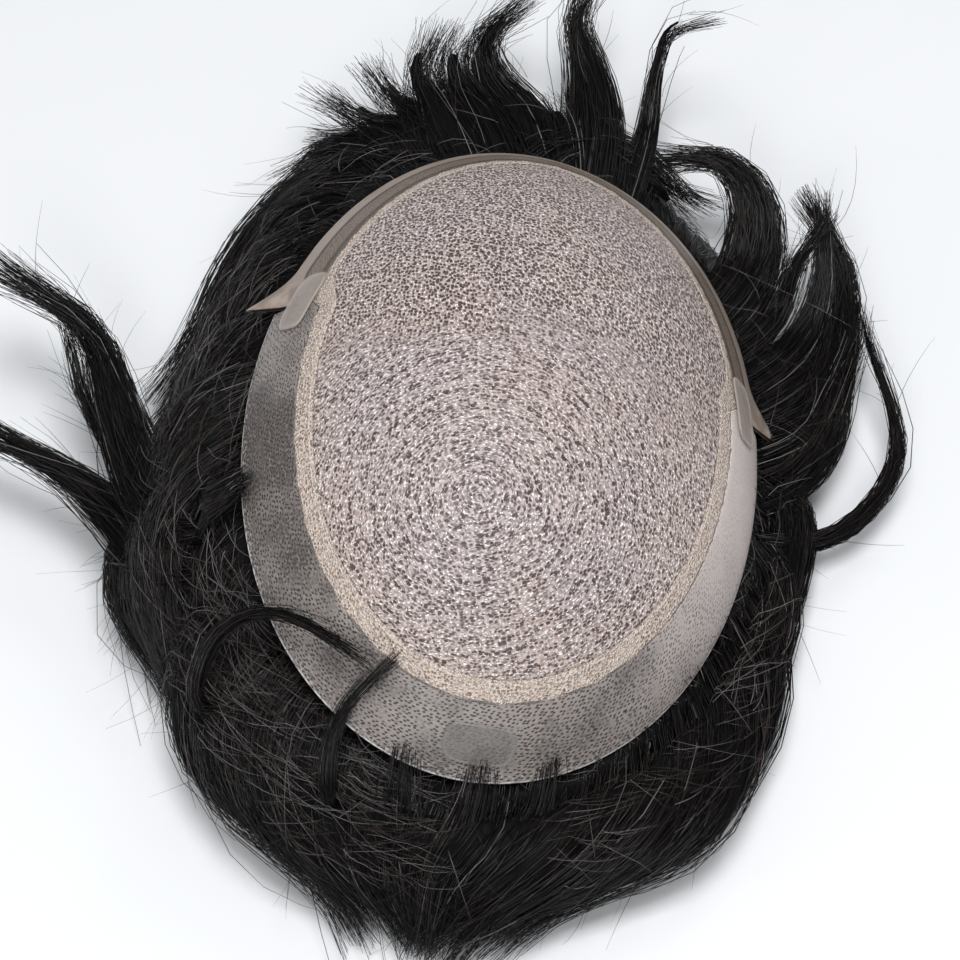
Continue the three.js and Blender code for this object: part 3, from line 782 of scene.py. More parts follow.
# name, zone, root angle, width and depth as shares, stations of (angle, reach share, height share)
locks = [
    ("crest_left", "front", 101, 1.15, 0.9, [(105, 0.51, 0.5), (106, 0.7, 0.55), (104, 0.79, 0.65)]),
    ("crest_fan", "front", 107, 1.3, 0.9, [(110, 0.48, 0.45), (113, 0.66, 0.42), (113, 0.77, 0.45)]),
    ("crest_side", "front", 114, 1.3, 0.9, [(118, 0.5, 0.42), (121, 0.6, 0.38), (127, 0.63, 0.35)]),
    ("temple_sweep_top", "front", 106, 1.05, 1, [(119, 0.4, 0.45), (138, 0.47, 0.36), (164, 0.44, 0.18)]),
    ("temple_sweep_mid", "front", 118, 1.05, 1, [(130, 0.3, 0.56), (150, 0.32, 0.45), (174, 0.38, 0.18)]),
    ("temple_sweep_low", "front", 132, 1, 1, [(147, 0.2, 0.66), (166, 0.22, 0.52), (188, 0.32, 0.2)]),
    ("crest_swept", "front", 88, 1.15, 0.9,
     [(94, 0.38, 0.45), (98, 0.62, 0.5), (98, 0.76, 0.62), (94, 0.83, 0.75)]),
    ("crest_upright", "front", 81, 1.05, 0.9,
     [(84, 0.4, 0.45), (86, 0.63, 0.55), (88, 0.81, 0.68), (87, 1.0, 0.75)]),
    ("crest_plume", "front", 74, 0.46, 0.5,
     [(77, 0.5, 0.42), (78, 0.69, 0.6), (78, 0.84, 0.8), (75, 0.93, 0.93)]),
    ("rim_front", "front", 94, 1.2, 1, [(86, 0.2, 0.45), (78, 0.32, 0.38), (68, 0.24, 0.32)]),
    ("hook_upper", "right", 46, 0.95, 0.8,
     [(52, 0.28, 0.4), (57, 0.42, 0.6), (64, 0.44, 0.7), (71, 0.31, 0.72)]),
    ("loop_inner", "right", 37, 0.5, 0.6, [(43, 0.28, 0.35), (46, 0.4, 0.55), (48, 0.53, 0.7)]),
    ("loop_middle", "right", 27, 0.62, 0.6, [(36, 0.31, 0.3), (41, 0.48, 0.45), (48, 0.63, 0.66)]),
    ("loop_outer", "right", 16, 0.78, 0.75,
     [(24, 0.31, 0.28), (34, 0.5, 0.35), (41, 0.64, 0.47), (48, 0.66, 0.62)]),
    ("tail_wide", "right", 0, 0.95, 0.75, [(10, 0.17, 0.28), (20, 0.33, 0.3), (32, 0.48, 0.3)]),
    ("arc_thin", "right", -12, 0.28, 0.4, [(-3, 0.34, 0.22), (11, 0.6, 0.3), (32, 0.58, 0.4)]),
    ("rim_drop", "right", 12, 0.8, 0.75, [(2, 0.14, 0.25), (-14, 0.18, 0.22), (-40, 0.24, 0.15)]),
    ("sweep_right_outer", "back", -20, 1.05, 0.85,
     [(-31, 0.14, 0.24), (-50, 0.33, 0.22), (-72, 0.4, 0.13)]),
    ("sweep_right_mid", "back", -38, 1.2, 0.95, [(-47, 0.2, 0.34), (-60, 0.4, 0.28), (-80, 0.41, 0.13)]),
    ("sweep_right_inner", "back", -56, 1.25, 1, [(-62, 0.18, 0.4), (-74, 0.35, 0.31), (-88, 0.45, 0.13)]),
    ("sweep_centre", "back", -71, 1.25, 1, [(-76, 0.16, 0.42), (-84, 0.34, 0.34), (-91, 0.5, 0.11)]),
    ("nape_right", "back", -86, 1.2, 1, [(-87, 0.16, 0.44), (-91, 0.34, 0.33), (-92, 0.54, 0.11)]),
    ("nape_left", "back", -99, 1.2, 1, [(-100, 0.16, 0.46), (-98, 0.36, 0.34), (-93, 0.51, 0.11)]),
    ("wave_inner", "back", -112, 1.2, 1, [(-112, 0.18, 0.54), (-107, 0.37, 0.38), (-96, 0.44, 0.13)]),
    ("wave_mid", "back", -124, 1.2, 1, [(-123, 0.24, 0.56), (-115, 0.41, 0.38), (-100, 0.41, 0.13)]),
    ("wave_outer", "back", -136, 1.1, 0.9, [(-134, 0.27, 0.54), (-125, 0.44, 0.34), (-107, 0.42, 0.11)]),
    ("curl_over_band", "back", -122, 0.26, 0.4,
     [(-127, 0.45, 0.6), (-132, 0.28, 0.93), (-127, 0.03, 1.12), (-111, -0.13, 1.17)]),
    ("curl_at_nape", "back", -103, 0.24, 0.38,
     [(-105, 0.3, 0.5), (-108, 0.15, 0.8), (-108, -0.01, 0.94), (-105, -0.14, 0.98)]),
    ("side_upper", "left", 168, 1.1, 1, [(180, 0.2, 0.74), (192, 0.3, 0.56), (212, 0.4, 0.25)]),
    ("side_inner", "left", 186, 1.1, 1, [(198, 0.26, 0.66), (212, 0.37, 0.46), (230, 0.36, 0.22)]),
    ("side_outer", "left", 193, 1.1, 0.9, [(197, 0.36, 0.5), (206, 0.5, 0.32), (222, 0.42, 0.13)]),
    ("flick_upper", "left", 207, 0.85, 0.7,
     [(199, 0.32, 0.62), (180, 0.55, 0.63), (168, 0.76, 0.75), (165, 1.09, 0.9)]),
    ("flick_lower", "left", 216, 0.85, 0.7,
     [(206, 0.34, 0.5), (194, 0.56, 0.47), (188, 0.77, 0.55), (184, 1.1, 0.62)]),
    ("wisp_upper", "left", 203, 0.28, 0.4, [(191, 0.4, 0.56), (178, 0.7, 0.6), (170, 0.85, 0.72)]),
]
print(len(locks), "locks in", sorted({row[1] for row in locks}))


# %% Lines through stations
def smooth_line(stations, fine=24):
    """A centripetal spline: it passes each station and never loops between two of them."""
    stations = np.array(stations)
    ends = 2 * stations[[0, -1]] - stations[[1, -2]]
    stations = np.concatenate([ends[:1], stations, ends[1:]])
    share = np.linspace(0, 1, fine, endpoint=False)[:, None]
    pieces = []
    for before, start, end, after in zip(stations, stations[1:], stations[2:], stations[3:]):
        steps = ((before, start), (start, end), (end, after))
        first, middle, last = (np.linalg.norm(b - a) ** 0.5 for a, b in steps)
        step = (end - start) / middle
        leave = ((start - before) / first - (end - before) / (first + middle) + step) * middle
        arrive = (step - (after - start) / (middle + last) + (after - end) / last) * middle
        ease = 3 * share**2 - 2 * share**3
        bend = leave * share * (1 - share) ** 2 - arrive * share**2 * (1 - share)
        pieces.append(blend(start, end, ease) + bend)
    return np.concatenate([*pieces, stations[-2:-1]])


guide_shares = np.linspace(-0.04, 1.14, 60)


def evenly(line):
    """The line again at even shares of its length, run on a little past both ends."""
    run = np.concatenate([[0], np.cumsum(np.linalg.norm(np.diff(line, axis=0), axis=1))])
    inside = np.clip(guide_shares, 0, 1) * run[-1]
    middle = np.stack([np.interp(inside, run, axis) for axis in line.T], axis=-1)
    for past, way in ((guide_shares - 1, line[-1] - line[-4]), (-guide_shares, line[0] - line[3])):
        middle += np.maximum(past, 0)[:, None] * run[-1] * way / np.linalg.norm(way)
    return middle, run[-1]


def fullness(share):
    share = np.clip(share, 0, 1)
    swell = root_fullness + (1 - root_fullness) * np.sin(np.pi * np.minimum(share / swell_share, 1))
    return tip_fullness + (1 - tip_fullness) * (1 - share**taper_power) * swell


# %% Guides
lean_start = 0.55


class Guide:
    """A lock's middle line, the way across it, the way up, and its half width and half depth."""

    def __init__(self, middle, length, width, depth):
        forward = np.gradient(middle, axis=0)
        self.forward = forward / np.linalg.norm(forward, axis=1, keepdims=True)
        across = np.cross((0, 0, 1), self.forward)
        self.across = across / np.linalg.norm(across, axis=1, keepdims=True)
        self.up = np.cross(self.forward, self.across)
        self.middle = middle
        self.length = length
        self.width = width
        self.depth = depth

    def at(self, share):
        """Middle, across and up at some shares of the length."""
        return [
            np.stack([np.interp(share, guide_shares, axis) for axis in line.T], axis=-1)
            for line in (self.middle, self.across, self.up)
        ]

    def leant(self, reach):
        """The same guide with its tip leant to its left."""
        lean_share = np.clip((guide_shares - lean_start) / (1 - lean_start), 0, 1.2)[:, None] ** 2
        return Guide(self.middle + self.across * reach * lean_share, self.length, self.width, self.depth)

    def half_way_to(self, other, width_share=0.95):
        pairs = [(self.length, other.length), (self.width, other.width), (self.depth, other.depth)]
        length, width, depth = ((mine + theirs) / 2 for mine, theirs in pairs)
        return Guide((self.middle + other.middle) / 2, length, width * width_share, depth * width_share)


def rim_plan(angle):
    """The rim's underside at an angle, the way out from the origin, and its distance from it."""
    rim = dome_point(angle, rim_distance(angle), -cloth_depth)
    radius = np.hypot(rim[..., 0], rim[..., 1])
    out = rim * (1, 1, 0) / radius[..., None]
    return rim, out, radius


def lock_guide(root, width, depth, path):
    rim, out, radius = rim_plan(np.radians(root))
    root_height = rim[2] - seam_gap - depth * lock_depth / 2
    stations = [out * (radius - root_tuck) + (0, 0, root_height)]
    for degrees, reach, height in path:
        rim, out, radius = rim_plan(np.radians(degrees))
        stations.append(out * (radius + reach * hair_spread) + (0, 0, height * hair_loft))
    middle, length = evenly(smooth_line(stations))
    return Guide(middle, length, width * lock_width / 2, depth * lock_depth / 2)


# first lock, second lock, how far along the sweep between them stays full
sweeps = [
    ("crest_side", "crest_fan", 1.0), ("crest_fan", "crest_left", 0.97),
    ("crest_left", "crest_swept", 0.92), ("crest_swept", "crest_upright", 0.55),
    ("crest_upright", "crest_plume", 0.45), ("temple_sweep_top", "temple_sweep_mid", 1.0),
    ("temple_sweep_mid", "temple_sweep_low", 1.0), ("temple_sweep_low", "side_upper", 1.0),
    ("hook_upper", "loop_inner", 0.6), ("loop_inner", "loop_middle", 0.45),
    ("loop_middle", "loop_outer", 0.5), ("loop_outer", "tail_wide", 0.8),
    ("rim_drop", "sweep_right_outer", 1.0), ("sweep_right_outer", "sweep_right_mid", 1.0),
    ("sweep_right_mid", "sweep_right_inner", 1.0), ("sweep_right_inner", "sweep_centre", 1.0),
    ("sweep_centre", "nape_right", 1.0), ("nape_right", "nape_left", 1.0), ("nape_left", "wave_inner", 1.0),
    ("wave_inner", "wave_mid", 1.0), ("wave_mid", "wave_outer", 1.0), ("side_upper", "side_inner", 1.0),
    ("side_inner", "side_outer", 1.0),
]
rising = {"curl_over_band": 0.42, "curl_at_nape": 0.42}

# How far each tip leans to its left, in mm
tip_leans = {"loop_inner": -5, "loop_middle": 1, "loop_outer": 8, "crest_left": 4, "crest_fan": 4}

# name: guide, zone, how far along it stays full, where it starts to rise over the rim
guides = {
    name: (lock_guide(*row).leant(tip_leans.get(name, 0) * mm), zone, 1.0, rising.get(name))
    for name, zone, *row in locks
}
for first, second, last in sweeps:
    between = guides[first][0].half_way_to(guides[second][0])
    guides[first + "_to_" + second] = (between, guides[first][1], last, None)
print("guide lengths in mm:", [round(guide.length / mm) for guide, *_ in guides.values()])

# %% [markdown]
# ## Keeping hair clear of the cloth
#
# Hair starts under the base, so it has to stay below the cloth there, while a few curls lie on
# top of the band. Two height maps, one of the cloth's underside and one of its upper side, say
# how high a hair may be and how low a curl may be at any place.

# %% Height maps of the cloth
map_step = 1 * mm
map_half = 160
hair_clearance = 0.5 * mm
table_clearance = 0.3 * mm
map_angle, map_share = np.meshgrid(np.radians(np.arange(0, 360, 0.4)), np.linspace(0, 1, 240))
map_along = map_share * (lace_distance(map_angle) + 0.4 * mm)
map_rise = lace_tip_rise * tip_share(map_angle) * map_share**6


def map_cell(points):
    cells = np.floor(points[..., :2] / map_step).astype(int) + map_half
    return tuple(np.clip(cells, 0, 2 * map_half - 1)[..., axis] for axis in range(2))


def height_map(lift, pick, empty):
    heights = np.full((2 * map_half, 2 * map_half), empty)
    points = dome_point(map_angle, map_along, lift + map_rise)
    pick.at(heights, map_cell(points), points[..., 2])
    return heights


underside = height_map(-cloth_depth, np.minimum, np.inf)
upper_side = height_map(patch_gap + patch_thickness, np.maximum, -np.inf)
print("the cloth covers", round(np.isfinite(underside).sum() * map_step**2 * 1e4), "square cm of the table")


def keep_clear(points, over=False):
    """Hair stays above the table, and under the cloth, or on top of it where over is true."""
    cells = map_cell(points)
    over_cloth = np.maximum(upper_side[cells] + hair_clearance / 2, table_clearance)
    low = np.where(over, over_cloth, table_clearance)
    high = np.where(over, np.inf, underside[cells] - hair_clearance)
    points[..., 2] = np.maximum(np.minimum(points[..., 2], high), low)
    return points


# %% [markdown]
# ## Hair bed and lock cores
#
# Under the single hairs lies what gives the hair its mass: a bed that is packed under the base
# and spills out round it, and a grooved core inside each lock and sweep. The grooves run with
# the hair and are real, so the mass still looks combed where no single hair covers it.

# %% Finish of massed hair
def hair_tone(shade, tint):
    """Off-black. A few hairs are brown, and fewer are painted pale grey as highlights, in place of glints.
    """
    dark = shade.mix(tint.between(0.2, 0.9), (0.0016, 0.0014, 0.0018), (0.0065, 0.0047, 0.0042))
    brown = shade.mix(tint.between(0.86, 0.93), dark, (0.028, 0.020, 0.017))
    # The palest hairs, pale grey, are painted highlights in place of the silvery glints on black hair.
    return shade.mix(tint.between(0.965, 0.99), brown, (0.17, 0.16, 0.158))


def mass_finish():
    shade = Shade("hair_mass_finish")
    _, lane, run, _ = shade.mark("hair")
    combed = shade.vector(lane, run * 0.03)
    fine = shade.noise(combed, 4200)
    broad = shade.noise(combed, 1100)
    tone = shade.mix(fine.between(0.4, 0.75), (0.0018, 0.0016, 0.0019), (0.0075, 0.0058, 0.0052))
    return shade.finish(
        Base_Color=tone,
        Roughness=0.36 + broad * 0.2,
        Normal=shade.relief(fine * 0.6 + broad * 0.4, 0.6 * mm),
        Specular_IOR_Level=0.09,
    )


hair_mass = mass_finish()

# %% Bed sizes
bed_ripple = 2 * mm
bed_ripples = 24
bed_flank = [(0.85, 0.0), (1.0, 0.16), (0.72, 0.52), (0.3, 0.84), (0.0, 0.9)]
# angle, spill past the rim as a share of the spread, and the drift of the hair in degrees
bed_table = [
    (20, 0.12, 6), (50, 0.16, 12), (70, 0.34, 10), (95, 0.4, 6), (125, 0.42, 26), (160, 0.38, 34),
    (198, 0.44, 30), (225, 0.38, 38), (250, 0.3, 30), (275, 0.32, 0), (303, 0.36, -24), (325, 0.2, -34),
    (350, 0.14, -20), (380, 0.12, 6),
]
bed_start = bed_table[0][0]


def bed_value(angle, column):
    degrees = (np.degrees(angle) - bed_start) % 360 + bed_start
    places, values = np.array([(row[0], row[column]) for row in bed_table]).T
    after = np.clip(np.searchsorted(places, degrees, side="right"), 1, len(places) - 1)
    share = (degrees - places[after - 1]) / (places[after] - places[after - 1])
    return blend(values[after - 1], values[after], share * share * (3 - 2 * share))


def bed_spill(angle):
    return bed_value(angle, 1) * hair_spread + bed_ripple * np.cos(bed_ripples * angle)


# %% Bed
random = np.random.default_rng(7)
under_clearance = 0.3 * mm
table_contact = 0.02 * mm


def bed_body(columns=600, flank_steps=4, top_steps=8):
    angles = np.linspace(0, 2 * np.pi, columns, endpoint=False)
    rim, out, radius = rim_plan(angles)
    flank = smooth_line([(reach, height, 0) for reach, height in bed_flank], fine=flank_steps)
    groove = random.normal(0, 1, columns)
    groove = (groove + np.roll(groove, 1)) * 0.3 * mm
    rings = [out * radius[:, None] * share for share in (0.03, 0.6)]
    marks = [0.0, 0.0]
    for step, (reach, height, _) in enumerate(flank):
        drifted = angles + np.radians(bed_value(angles, 2)) * (1 - height) * 0.8
        rim, out, radius = rim_plan(drifted)
        spill = reach * bed_spill(drifted) + groove * np.sin(np.pi * step / (len(flank) - 1))
        rings.append(out * (radius + spill)[:, None] + (0, 0, 1) * (rim[:, 2] * height)[:, None])
        marks.append(-reach * hair_spread)
    under = -(cloth_depth + seam_gap + under_clearance)
    for share in np.linspace(0.97, 0.03, top_steps):
        rings.append(dome_point(angles, rim_distance(angles) * share, under))
        marks.append(0.0)
    rings = keep_clear(np.array(rings))
    rings[:3, :, 2] = table_contact
    lane = np.broadcast_to(angles * base_width / 2, rings.shape[:2])
    run = np.broadcast_to(np.array(marks)[:, None], rings.shape[:2])
    return stack(rings, np.stack([lane, run, np.zeros_like(lane)], axis=-1))


hair_nodes = {zone: "hair_" + zone for zone in ("front", "right", "back", "left")}
bed = bed_body()
add_piece("hair_bed", bed, "hair", hair_mass, ["hair_crown", *hair_nodes.values()])

# %% Lock cores
core_width = 0.78
core_depth = 0.8
core_length = 0.92
groove_depth = 0.07
lane_step = 0.1


def core_body(number, guide, last, sections=34, sides=22):
    """A tapering core. Its grooves wander from one side to the next along the lock."""
    share = np.linspace(0, core_length * last, sections)
    middle, across, up = (line[:, None] for line in guide.at(share))
    around = np.linspace(0, 2 * np.pi, sides, endpoint=False)
    turn = np.sin(share * 2.5)[:, None]
    groove = 1 + blend(*random.normal(0, groove_depth, (2, sides)), turn)
    size = fullness(share)[:, None] * (1 - 0.97 * (share / last)[:, None] ** 3) * groove
    side = (np.cos(around) * size * guide.width * core_width)[..., None]
    lift = (np.sin(around) * size * guide.depth * core_depth)[..., None]
    rings = keep_clear(middle + across * side + up * lift)
    lane = np.broadcast_to(around * guide.width * 0.8 + lane_step * number, rings.shape[:2])
    run = np.broadcast_to(share[:, None] * guide.length, rings.shape[:2])
    return stack(rings, np.stack([lane, run, np.zeros_like(lane)], axis=-1))


mass_points = [bed[0]]
for zone, node in hair_nodes.items():
    cores = together([
        core_body(number, guide, last)
        for number, (guide, place, last, rise) in enumerate(guides.values())
        if place == zone and rise is None
    ])
    mass_points.append(cores[0])
    add_piece("locks_" + zone, cores, "hair", hair_mass, [node])


# %% Height map of the hair
def with_neighbours(heights):
    return np.stack([np.roll(heights, step, axis) for axis in (0, 1) for step in (-1, 0, 1)])


hair_top = np.zeros((2 * map_half, 2 * map_half))
for points in mass_points:
    np.maximum.at(hair_top, map_cell(points), points[:, 2])
for _ in range(3):
    hair_top = with_neighbours(hair_top).max(axis=0)
for _ in range(3):
    hair_top = with_neighbours(hair_top).mean(axis=0)
print("the hair stands up to", round(hair_top.max() / mm), "mm over the table")

# %% [markdown]
# ## Single hairs
#
# A hair is a closed three-sided tube, smooth shaded so that it reads as round, thin at the tip.
# Each hair keeps its place in the lock's section, is drawn in to one of a few clumps, and leaves
# it again near the tip, which frays the lock. They are all made in one go as arrays and joined
# into one mesh per zone, which is far quicker than an object for each. Two curls that rise over
# the rim and lie on the film are a mesh of their own.

# %% Finish of single hairs
def strand_finish():
    shade = Shade("hair_strand_finish")
    _, tint, run, _ = shade.mark("hair")
    streak = shade.noise(shade.vector(tint * 50, run * 0.4), 60)
    return shade.finish(
        Base_Color=hair_tone(shade, tint),
        Roughness=0.13 + streak * 0.26,
        Specular_IOR_Level=0.32,
    )


hair_strands = strand_finish()


# %% Tubes
strand_tip = 0.35


def tube_body(paths, width, palest=0.0):
    """Closed three-sided tubes along paths [count, stations, 3]. A high palest leaves out dark hairs."""
    count, stations = paths.shape[:2]
    forward = np.gradient(paths, axis=1)
    forward /= np.linalg.norm(forward, axis=-1, keepdims=True) + 1e-12
    side = np.cross(forward, random.normal(0, 1, (count, 1, 3)))
    side /= np.linalg.norm(side, axis=-1, keepdims=True) + 1e-12
    lift = np.cross(forward, side)
    share = np.linspace(0, 1, stations)
    radius = np.multiply.outer(width, 1 - (1 - strand_tip) * share**2)[..., None, None] / 2
    around = 2 * np.pi * np.arange(3)[:, None] / 3
    corner = side[:, :, None] * np.cos(around) + lift[:, :, None] * np.sin(around)
    points = (paths[:, :, None] + corner * radius).reshape(-1, 3)
    ends = [(0, 2, 1), (3 * stations - 3, 3 * stations - 2, 3 * stations - 1)]
    one = np.concatenate([ring_triangles(stations, 3), ends])
    faces = (one + 3 * stations * np.arange(count)[:, None, None]).reshape(-1, 3)
    length = np.linalg.norm(np.diff(paths, axis=1), axis=-1).sum(axis=1)
    notes = np.zeros((count, stations, 3, 3))
    notes[..., 0] = random.uniform(palest, 1, (count, 1, 1))
    notes[..., 1] = (length[:, None] * share)[:, :, None]
    return points, notes.reshape(-1, 3), faces


def within_reach(paths):
    """Only those paths that stay inside the frame's box, but for a little fuzz."""
    fuzz = 7 * mm
    low, high = np.array(cad_low) - fuzz, np.array(cad_high) + fuzz
    return paths[((paths > low) & (paths < high)).all(axis=(1, 2))]


# %% Hairs in a guide
fray_start = 0.6
fray_reach = 1.8 * mm
curl_reach = 3.5 * mm


def hair_paths(guide, last, rise, count, gather, wave, stations=10):
    """Hairs of one lock: drawn in to clumps along it, waving a little, and frayed at the tip."""
    start = random.uniform(-0.03, 0.14, count) * last
    end = last * np.minimum(1.12, 1.1 - random.gamma(1.5, 0.08, count))
    share = blend(start[:, None], end[:, None], np.linspace(0, 1, stations))
    middle, across, up = guide.at(share)
    wide = random.uniform(-1.05, 1.05, count)
    top = np.sqrt(np.clip(1 - wide**2, 0, 1))
    on_top = random.random(count) < 0.8
    deep = top * np.where(on_top, random.uniform(0.4, 1.1, count), -random.random(count))
    clumps = random.uniform(-0.9, 0.9, (max(3, count // 14), 2)) * (1, 0.6)
    mine = clumps[random.integers(len(clumps), size=count)] + random.normal(0, 0.08, (count, 2))
    pull = gather * np.clip(share, 0, 1) ** 1.5
    x, y = blend(wide[:, None], mine[:, :1], pull), blend(deep[:, None], mine[:, 1:], pull)
    size = np.maximum(fullness(share), 0.35)
    fray = np.clip((share / last - fray_start) / (1 - fray_start), 0, 1.3) ** 2
    stray = np.where(random.random(count) < 0.13, 5, 1)
    amount = (wave * random.gamma(2, 0.5, count) * stray)[:, None]
    turns = 2 * np.pi * (random.uniform(0.3, 1.1, (count, 1)) * share + random.random((count, 1)))
    slender = min(guide.width / (8 * mm), 1)
    leave = random.normal(0, fray_reach, (2, count, 1)) * slender
    curl = random.normal(0, curl_reach) * slender
    x = x * size * guide.width + amount * share * np.sin(turns) + (leave[0] + curl) * fray
    y = y * size * guide.depth + amount * share * np.cos(turns * 0.8) * 0.6 + leave[1] * fray * 0.7
    over = False if rise is None else share > rise
    paths = keep_clear(middle + across * x[..., None] + up * y[..., None], over)
    for _ in range(0 if rise is None else 3):
        paths[:, 1:-1] = (paths[:, :-2] + 2 * paths[:, 1:-1] + paths[:, 2:]) / 4
        paths = keep_clear(paths, over)
    return paths


# %% Hairs down the bed's flank
def bed_paths(low, high, count, stations=10):
    """Hairs from under the rim down the bed's flank to the table, drifting with the sweep."""
    angle = np.radians(random.uniform(low, high, count))[:, None]
    reach, height = np.array(bed_flank[::-1]).T
    share = np.linspace(0, 1, stations) * random.uniform(0.82, 1.0, (count, 1))
    at = np.linspace(0, 1, len(reach))
    drifted = angle + np.radians(bed_value(angle, 2) + random.normal(0, 6, (count, 1))) * share**1.3
    rim, out, radius = rim_plan(drifted)
    fuzz = random.gamma(1.5, 0.5 * mm, (count, 1))
    tuck = -8 * mm * np.clip(1 - share * 6, 0, 1)
    out_by = np.interp(share, at, reach) * bed_spill(drifted) * 1.02 + fuzz + tuck
    tall = rim[..., 2] * np.interp(share, at, height) + 0.4 * mm * random.normal(0, 1, (count, 1))
    return keep_clear(out * (radius + out_by)[..., None] + (0, 0, 1) * tall[..., None])


# %% Hairs of each zone
# zone: from angle to angle, hairs, and how far they wave
zones = {
    "front": (56, 152, 3250, 0.45 * mm), "right": (-20, 56, 2500, 0.4 * mm),
    "back": (-138, -20, 3200, 0.5 * mm), "left": (152, 222, 2650, 0.85 * mm),
}
bed_hairs_per_degree = 4
strand_width = 0.3 * mm
hairs_in_curl = 130
curl_stations = 17


def zone_paths(zone, count, wave):
    own = [(guide, last) for guide, place, last, rise in guides.values() if place == zone and rise is None]
    weights = [guide.width * guide.length * last for guide, last in own]
    paths = []
    for (guide, last), weight in zip(own, weights):
        hairs = int(count * weight / sum(weights))
        paths.append(hair_paths(guide, last, None, hairs, random.uniform(0.4, 0.7), wave))
    return paths


def add_hairs(name, paths, node):
    widths = strand_width * random.uniform(0.7, 1.25, len(paths))
    add_piece(name, tube_body(paths, widths), "hair", hair_strands, [node])


for zone, node in hair_nodes.items():
    low, high, count, wave = zones[zone]
    on_bed = int((high - low) * bed_hairs_per_degree)
    paths = [*zone_paths(zone, count - on_bed, wave), bed_paths(low, high, on_bed)]
    add_hairs("hairs_" + zone, np.concatenate(paths), node)

# The two curls turn tightly, so their hairs have more stations
curled = [
    hair_paths(guide, last, rise, hairs_in_curl, 0.3, 0.3 * mm, curl_stations)
    for guide, place, last, rise in guides.values() if rise is not None
]
add_hairs("curls", np.concatenate(curled), "hair_back")

# %% [markdown]
# ## Loose hairs
#
# No hairpiece lies tidy. Fine flyaways leave the locks at all angles, a few short hairs lie
# across the dark bed, and small tufts have worked up over the edge of the film. These soften the
# outline, which would otherwise look cut out.

# %% Flyaways
flyaway_weights = {"front": 1, "right": 1, "back": 1, "left": 4}


def flyaway_paths(count, stations=7):
    """Fine hairs that leave a lock sideways and bend back towards its own way."""
    owned = [(guide, flyaway_weights[zone]) for guide, zone, last, _ in guides.values() if last > 0.9]
    total = sum(weight for guide, weight in owned)
    paths = []
    for guide, weight in owned:
        share = random.uniform(0.2, 1.0, count * weight // total)
        middle, across, up = guide.at(share)
        forward = np.cross(across, up)
        turn, climb = random.normal(0, 0.55, (2, len(share), 1))
        way = forward + across * turn + up * climb * 0.6
        way /= np.linalg.norm(way, axis=1, keepdims=True)
        aside, lifted = random.normal(0, 1, (2, len(share), 1))
        bend = across * aside + up * lifted * 0.6
        length = random.gamma(2.0, 3.8 * mm, (len(share), 1)) + 2.5 * mm
        side = random.uniform(-0.9, 0.9, (len(share), 1)) * guide.width * fullness(share)[:, None]
        start = middle + across * side + up * guide.depth * fullness(share)[:, None] * 0.7
        step = np.linspace(0, 1, stations)[:, None, None]
        paths.append((start + step * way * length + step**2 * bend * length * 0.35).transpose(1, 0, 2))
    return within_reach(keep_clear(np.concatenate(paths)))


# %% Hairs laid over the mass
lowest_lying = 5 * mm


def lying_paths(count, low, high, wander, stations=7):
    """Short fine hairs on top of the locks, run round the rim with some wander."""
    rim, out, radius = rim_plan(np.radians(random.uniform(low, high, count)))
    beside = np.cross((0, 0, 1), out)
    turn = random.normal(0, wander, (count, 1))
    way = beside * np.cos(turn) + out * np.sin(turn)
    reach = random.uniform(2 * mm, 27 * mm, (count, 1))
    length = random.uniform(7 * mm, 21 * mm, (count, 1))
    step = np.linspace(-0.5, 0.5, stations)[:, None, None]
    bend = random.normal(-0.3, 0.15, (count, 1))
    paths = out * (radius[:, None] + reach) + (step * way + step**2 * bend * out) * length
    arch = random.uniform(0.3 * mm, 2.2 * mm, (count, 1)) + (0.25 - step**2) * length * 0.15
    paths[..., 2] = hair_top[map_cell(paths)] + arch[..., 0]
    paths = paths.transpose(1, 0, 2)
    return keep_clear(paths[paths[..., 2].min(axis=1) > lowest_lying])


# %% Tufts over the film
# angle, half width in degrees, how far in from the rim, how far out it starts, lean in degrees, hairs
tufts = [
    (206, 4.2, 6.5, 16, -3, 240), (262, 4.0, 3.0, 24, 3, 44), (273, 4.6, 5.5, 18, -3, 44),
    (284, 3.4, 3.4, 16, -5, 32),
]


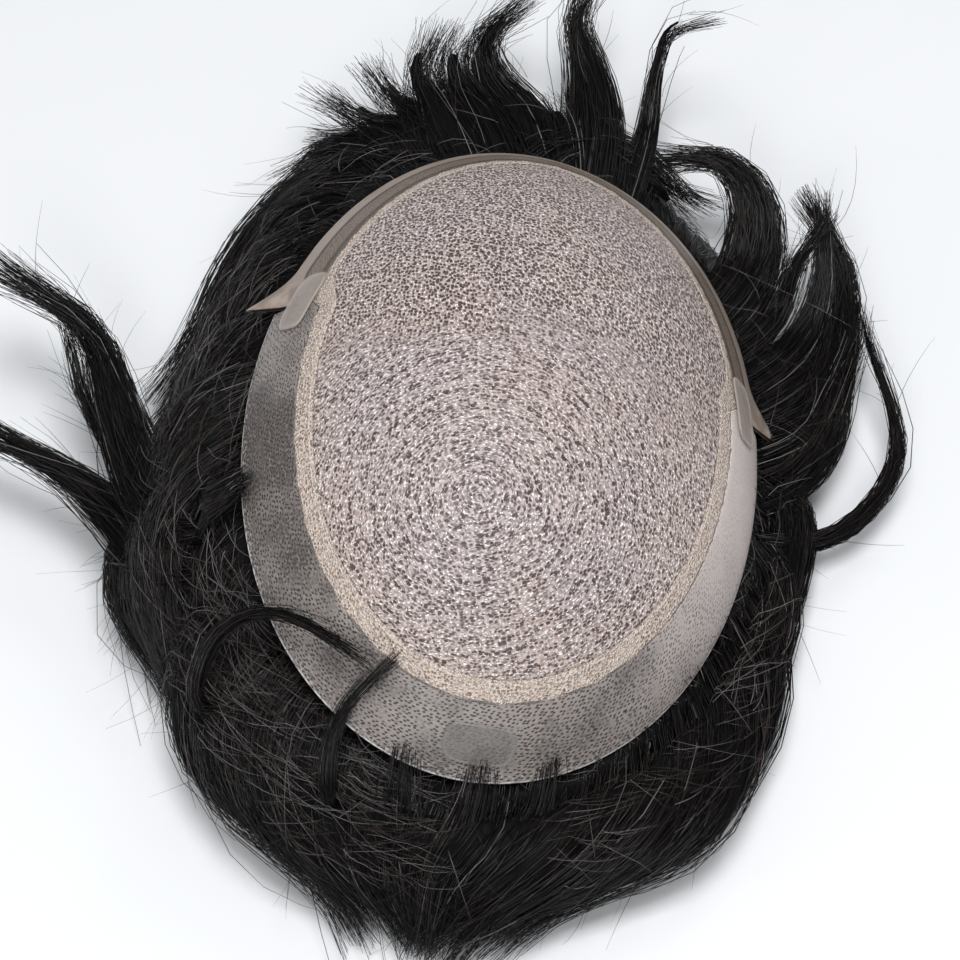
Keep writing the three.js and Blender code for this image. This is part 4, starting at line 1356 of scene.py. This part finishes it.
def tuft_paths(degrees, half_width, inside, outside, lean_degrees, count, stations=9):
    """Hairs that rise from outside the rim, bend over its edge and lie on the film."""
    place = np.clip(random.normal(0, 0.5, (count, 1)), -1, 1)
    share = np.linspace(0, 1, stations)
    angle = np.radians(degrees + place * half_width * (1 - 0.35 * share) + lean_degrees * (1 - share) ** 2)
    start = -outside * mm * random.uniform(0.7, 1.1, (count, 1))
    end = inside * mm * (1 - 0.5 * place**2) * random.uniform(0.1, 1.1, (count, 1))
    past = -blend(start, end, share)
    rim, out, radius = rim_plan(angle)
    lying = dome_point(angle, rim_distance(angle) + past, random.uniform(1.0, 2.0, (count, 1)) * mm)
    drop = np.clip(past / (16 * mm), 0, 1) ** 1.5 * rim[..., 2] * 0.45
    height = rim[..., 2] + cloth_depth + 1 * mm - drop
    standing = out * (radius + past)[..., None] + (0, 0, 1) * height[..., None]
    return keep_clear(np.where((past > 0)[..., None], standing, lying), True)


# %% Hairs over the lace tips
# angles at both ends, distances past the rim in mm at both ends, and the lift off the lace
crossings = [
    (149, 153, 9.0, -3.0, 1.2), (150, 147, 8.0, -1.0, 1.5),
    (23, 20, 9.0, -5.0, 1.2), (333, 341, 5.0, -3.0, 1.4),
]


def crossing_path(first, last, outer, inner, lift, stations=9):
    share = np.linspace(0, 1, stations)
    angle = np.radians(blend(first, last, share))
    past = blend(outer, inner, share) * mm
    raised = lift * mm + lace_tip_rise * tip_share(angle)
    return dome_point(angle, rim_distance(angle) + past, raised + np.sin(share * np.pi) * 1.5 * mm)


# %% Loose pieces
fine_width = 0.13 * mm
flying = flyaway_paths(1200)
flying_widths = fine_width * random.uniform(0.7, 1.3, len(flying))
add_piece("flyaways", tube_body(flying, flying_widths), "hair", hair_strands)
# hairs, from angle to angle, and wander as a turn
lying_rows = [(200, 0, 360, 0.7), (460, 215, 268, 0.3), (180, 145, 215, 0.45), (200, 285, 345, 0.35)]
lying = np.concatenate([lying_paths(*row) for row in lying_rows])
lying_widths = fine_width * random.uniform(0.8, 1.5, len(lying))
# These hairs are drawn brown or pale grey; the pale ones are painted highlights, as glints on hair lying
# across the locks.
lying_body = tube_body(lying, lying_widths, palest=0.93)
add_piece("lying_hairs", lying_body, "hair", hair_strands)
risen = [tuft_paths(*row) for row in tufts] + [np.array([crossing_path(*row) for row in crossings])]
risen = np.concatenate(risen)
risen_widths = strand_width * random.uniform(0.6, 1.1, len(risen))
add_piece("tufts", tube_body(risen, risen_widths), "hair", hair_strands)

# %% [markdown]
# ## Measures
#
# The triangles of all pieces are counted and printed, and the view is brought up to date.
# The dressed piece has to stay within the frame's box, but for a little fuzz.

# %% Finish
print("all pieces:", sum(piece_triangles.values()), "triangles")
bpy.context.view_layer.update()
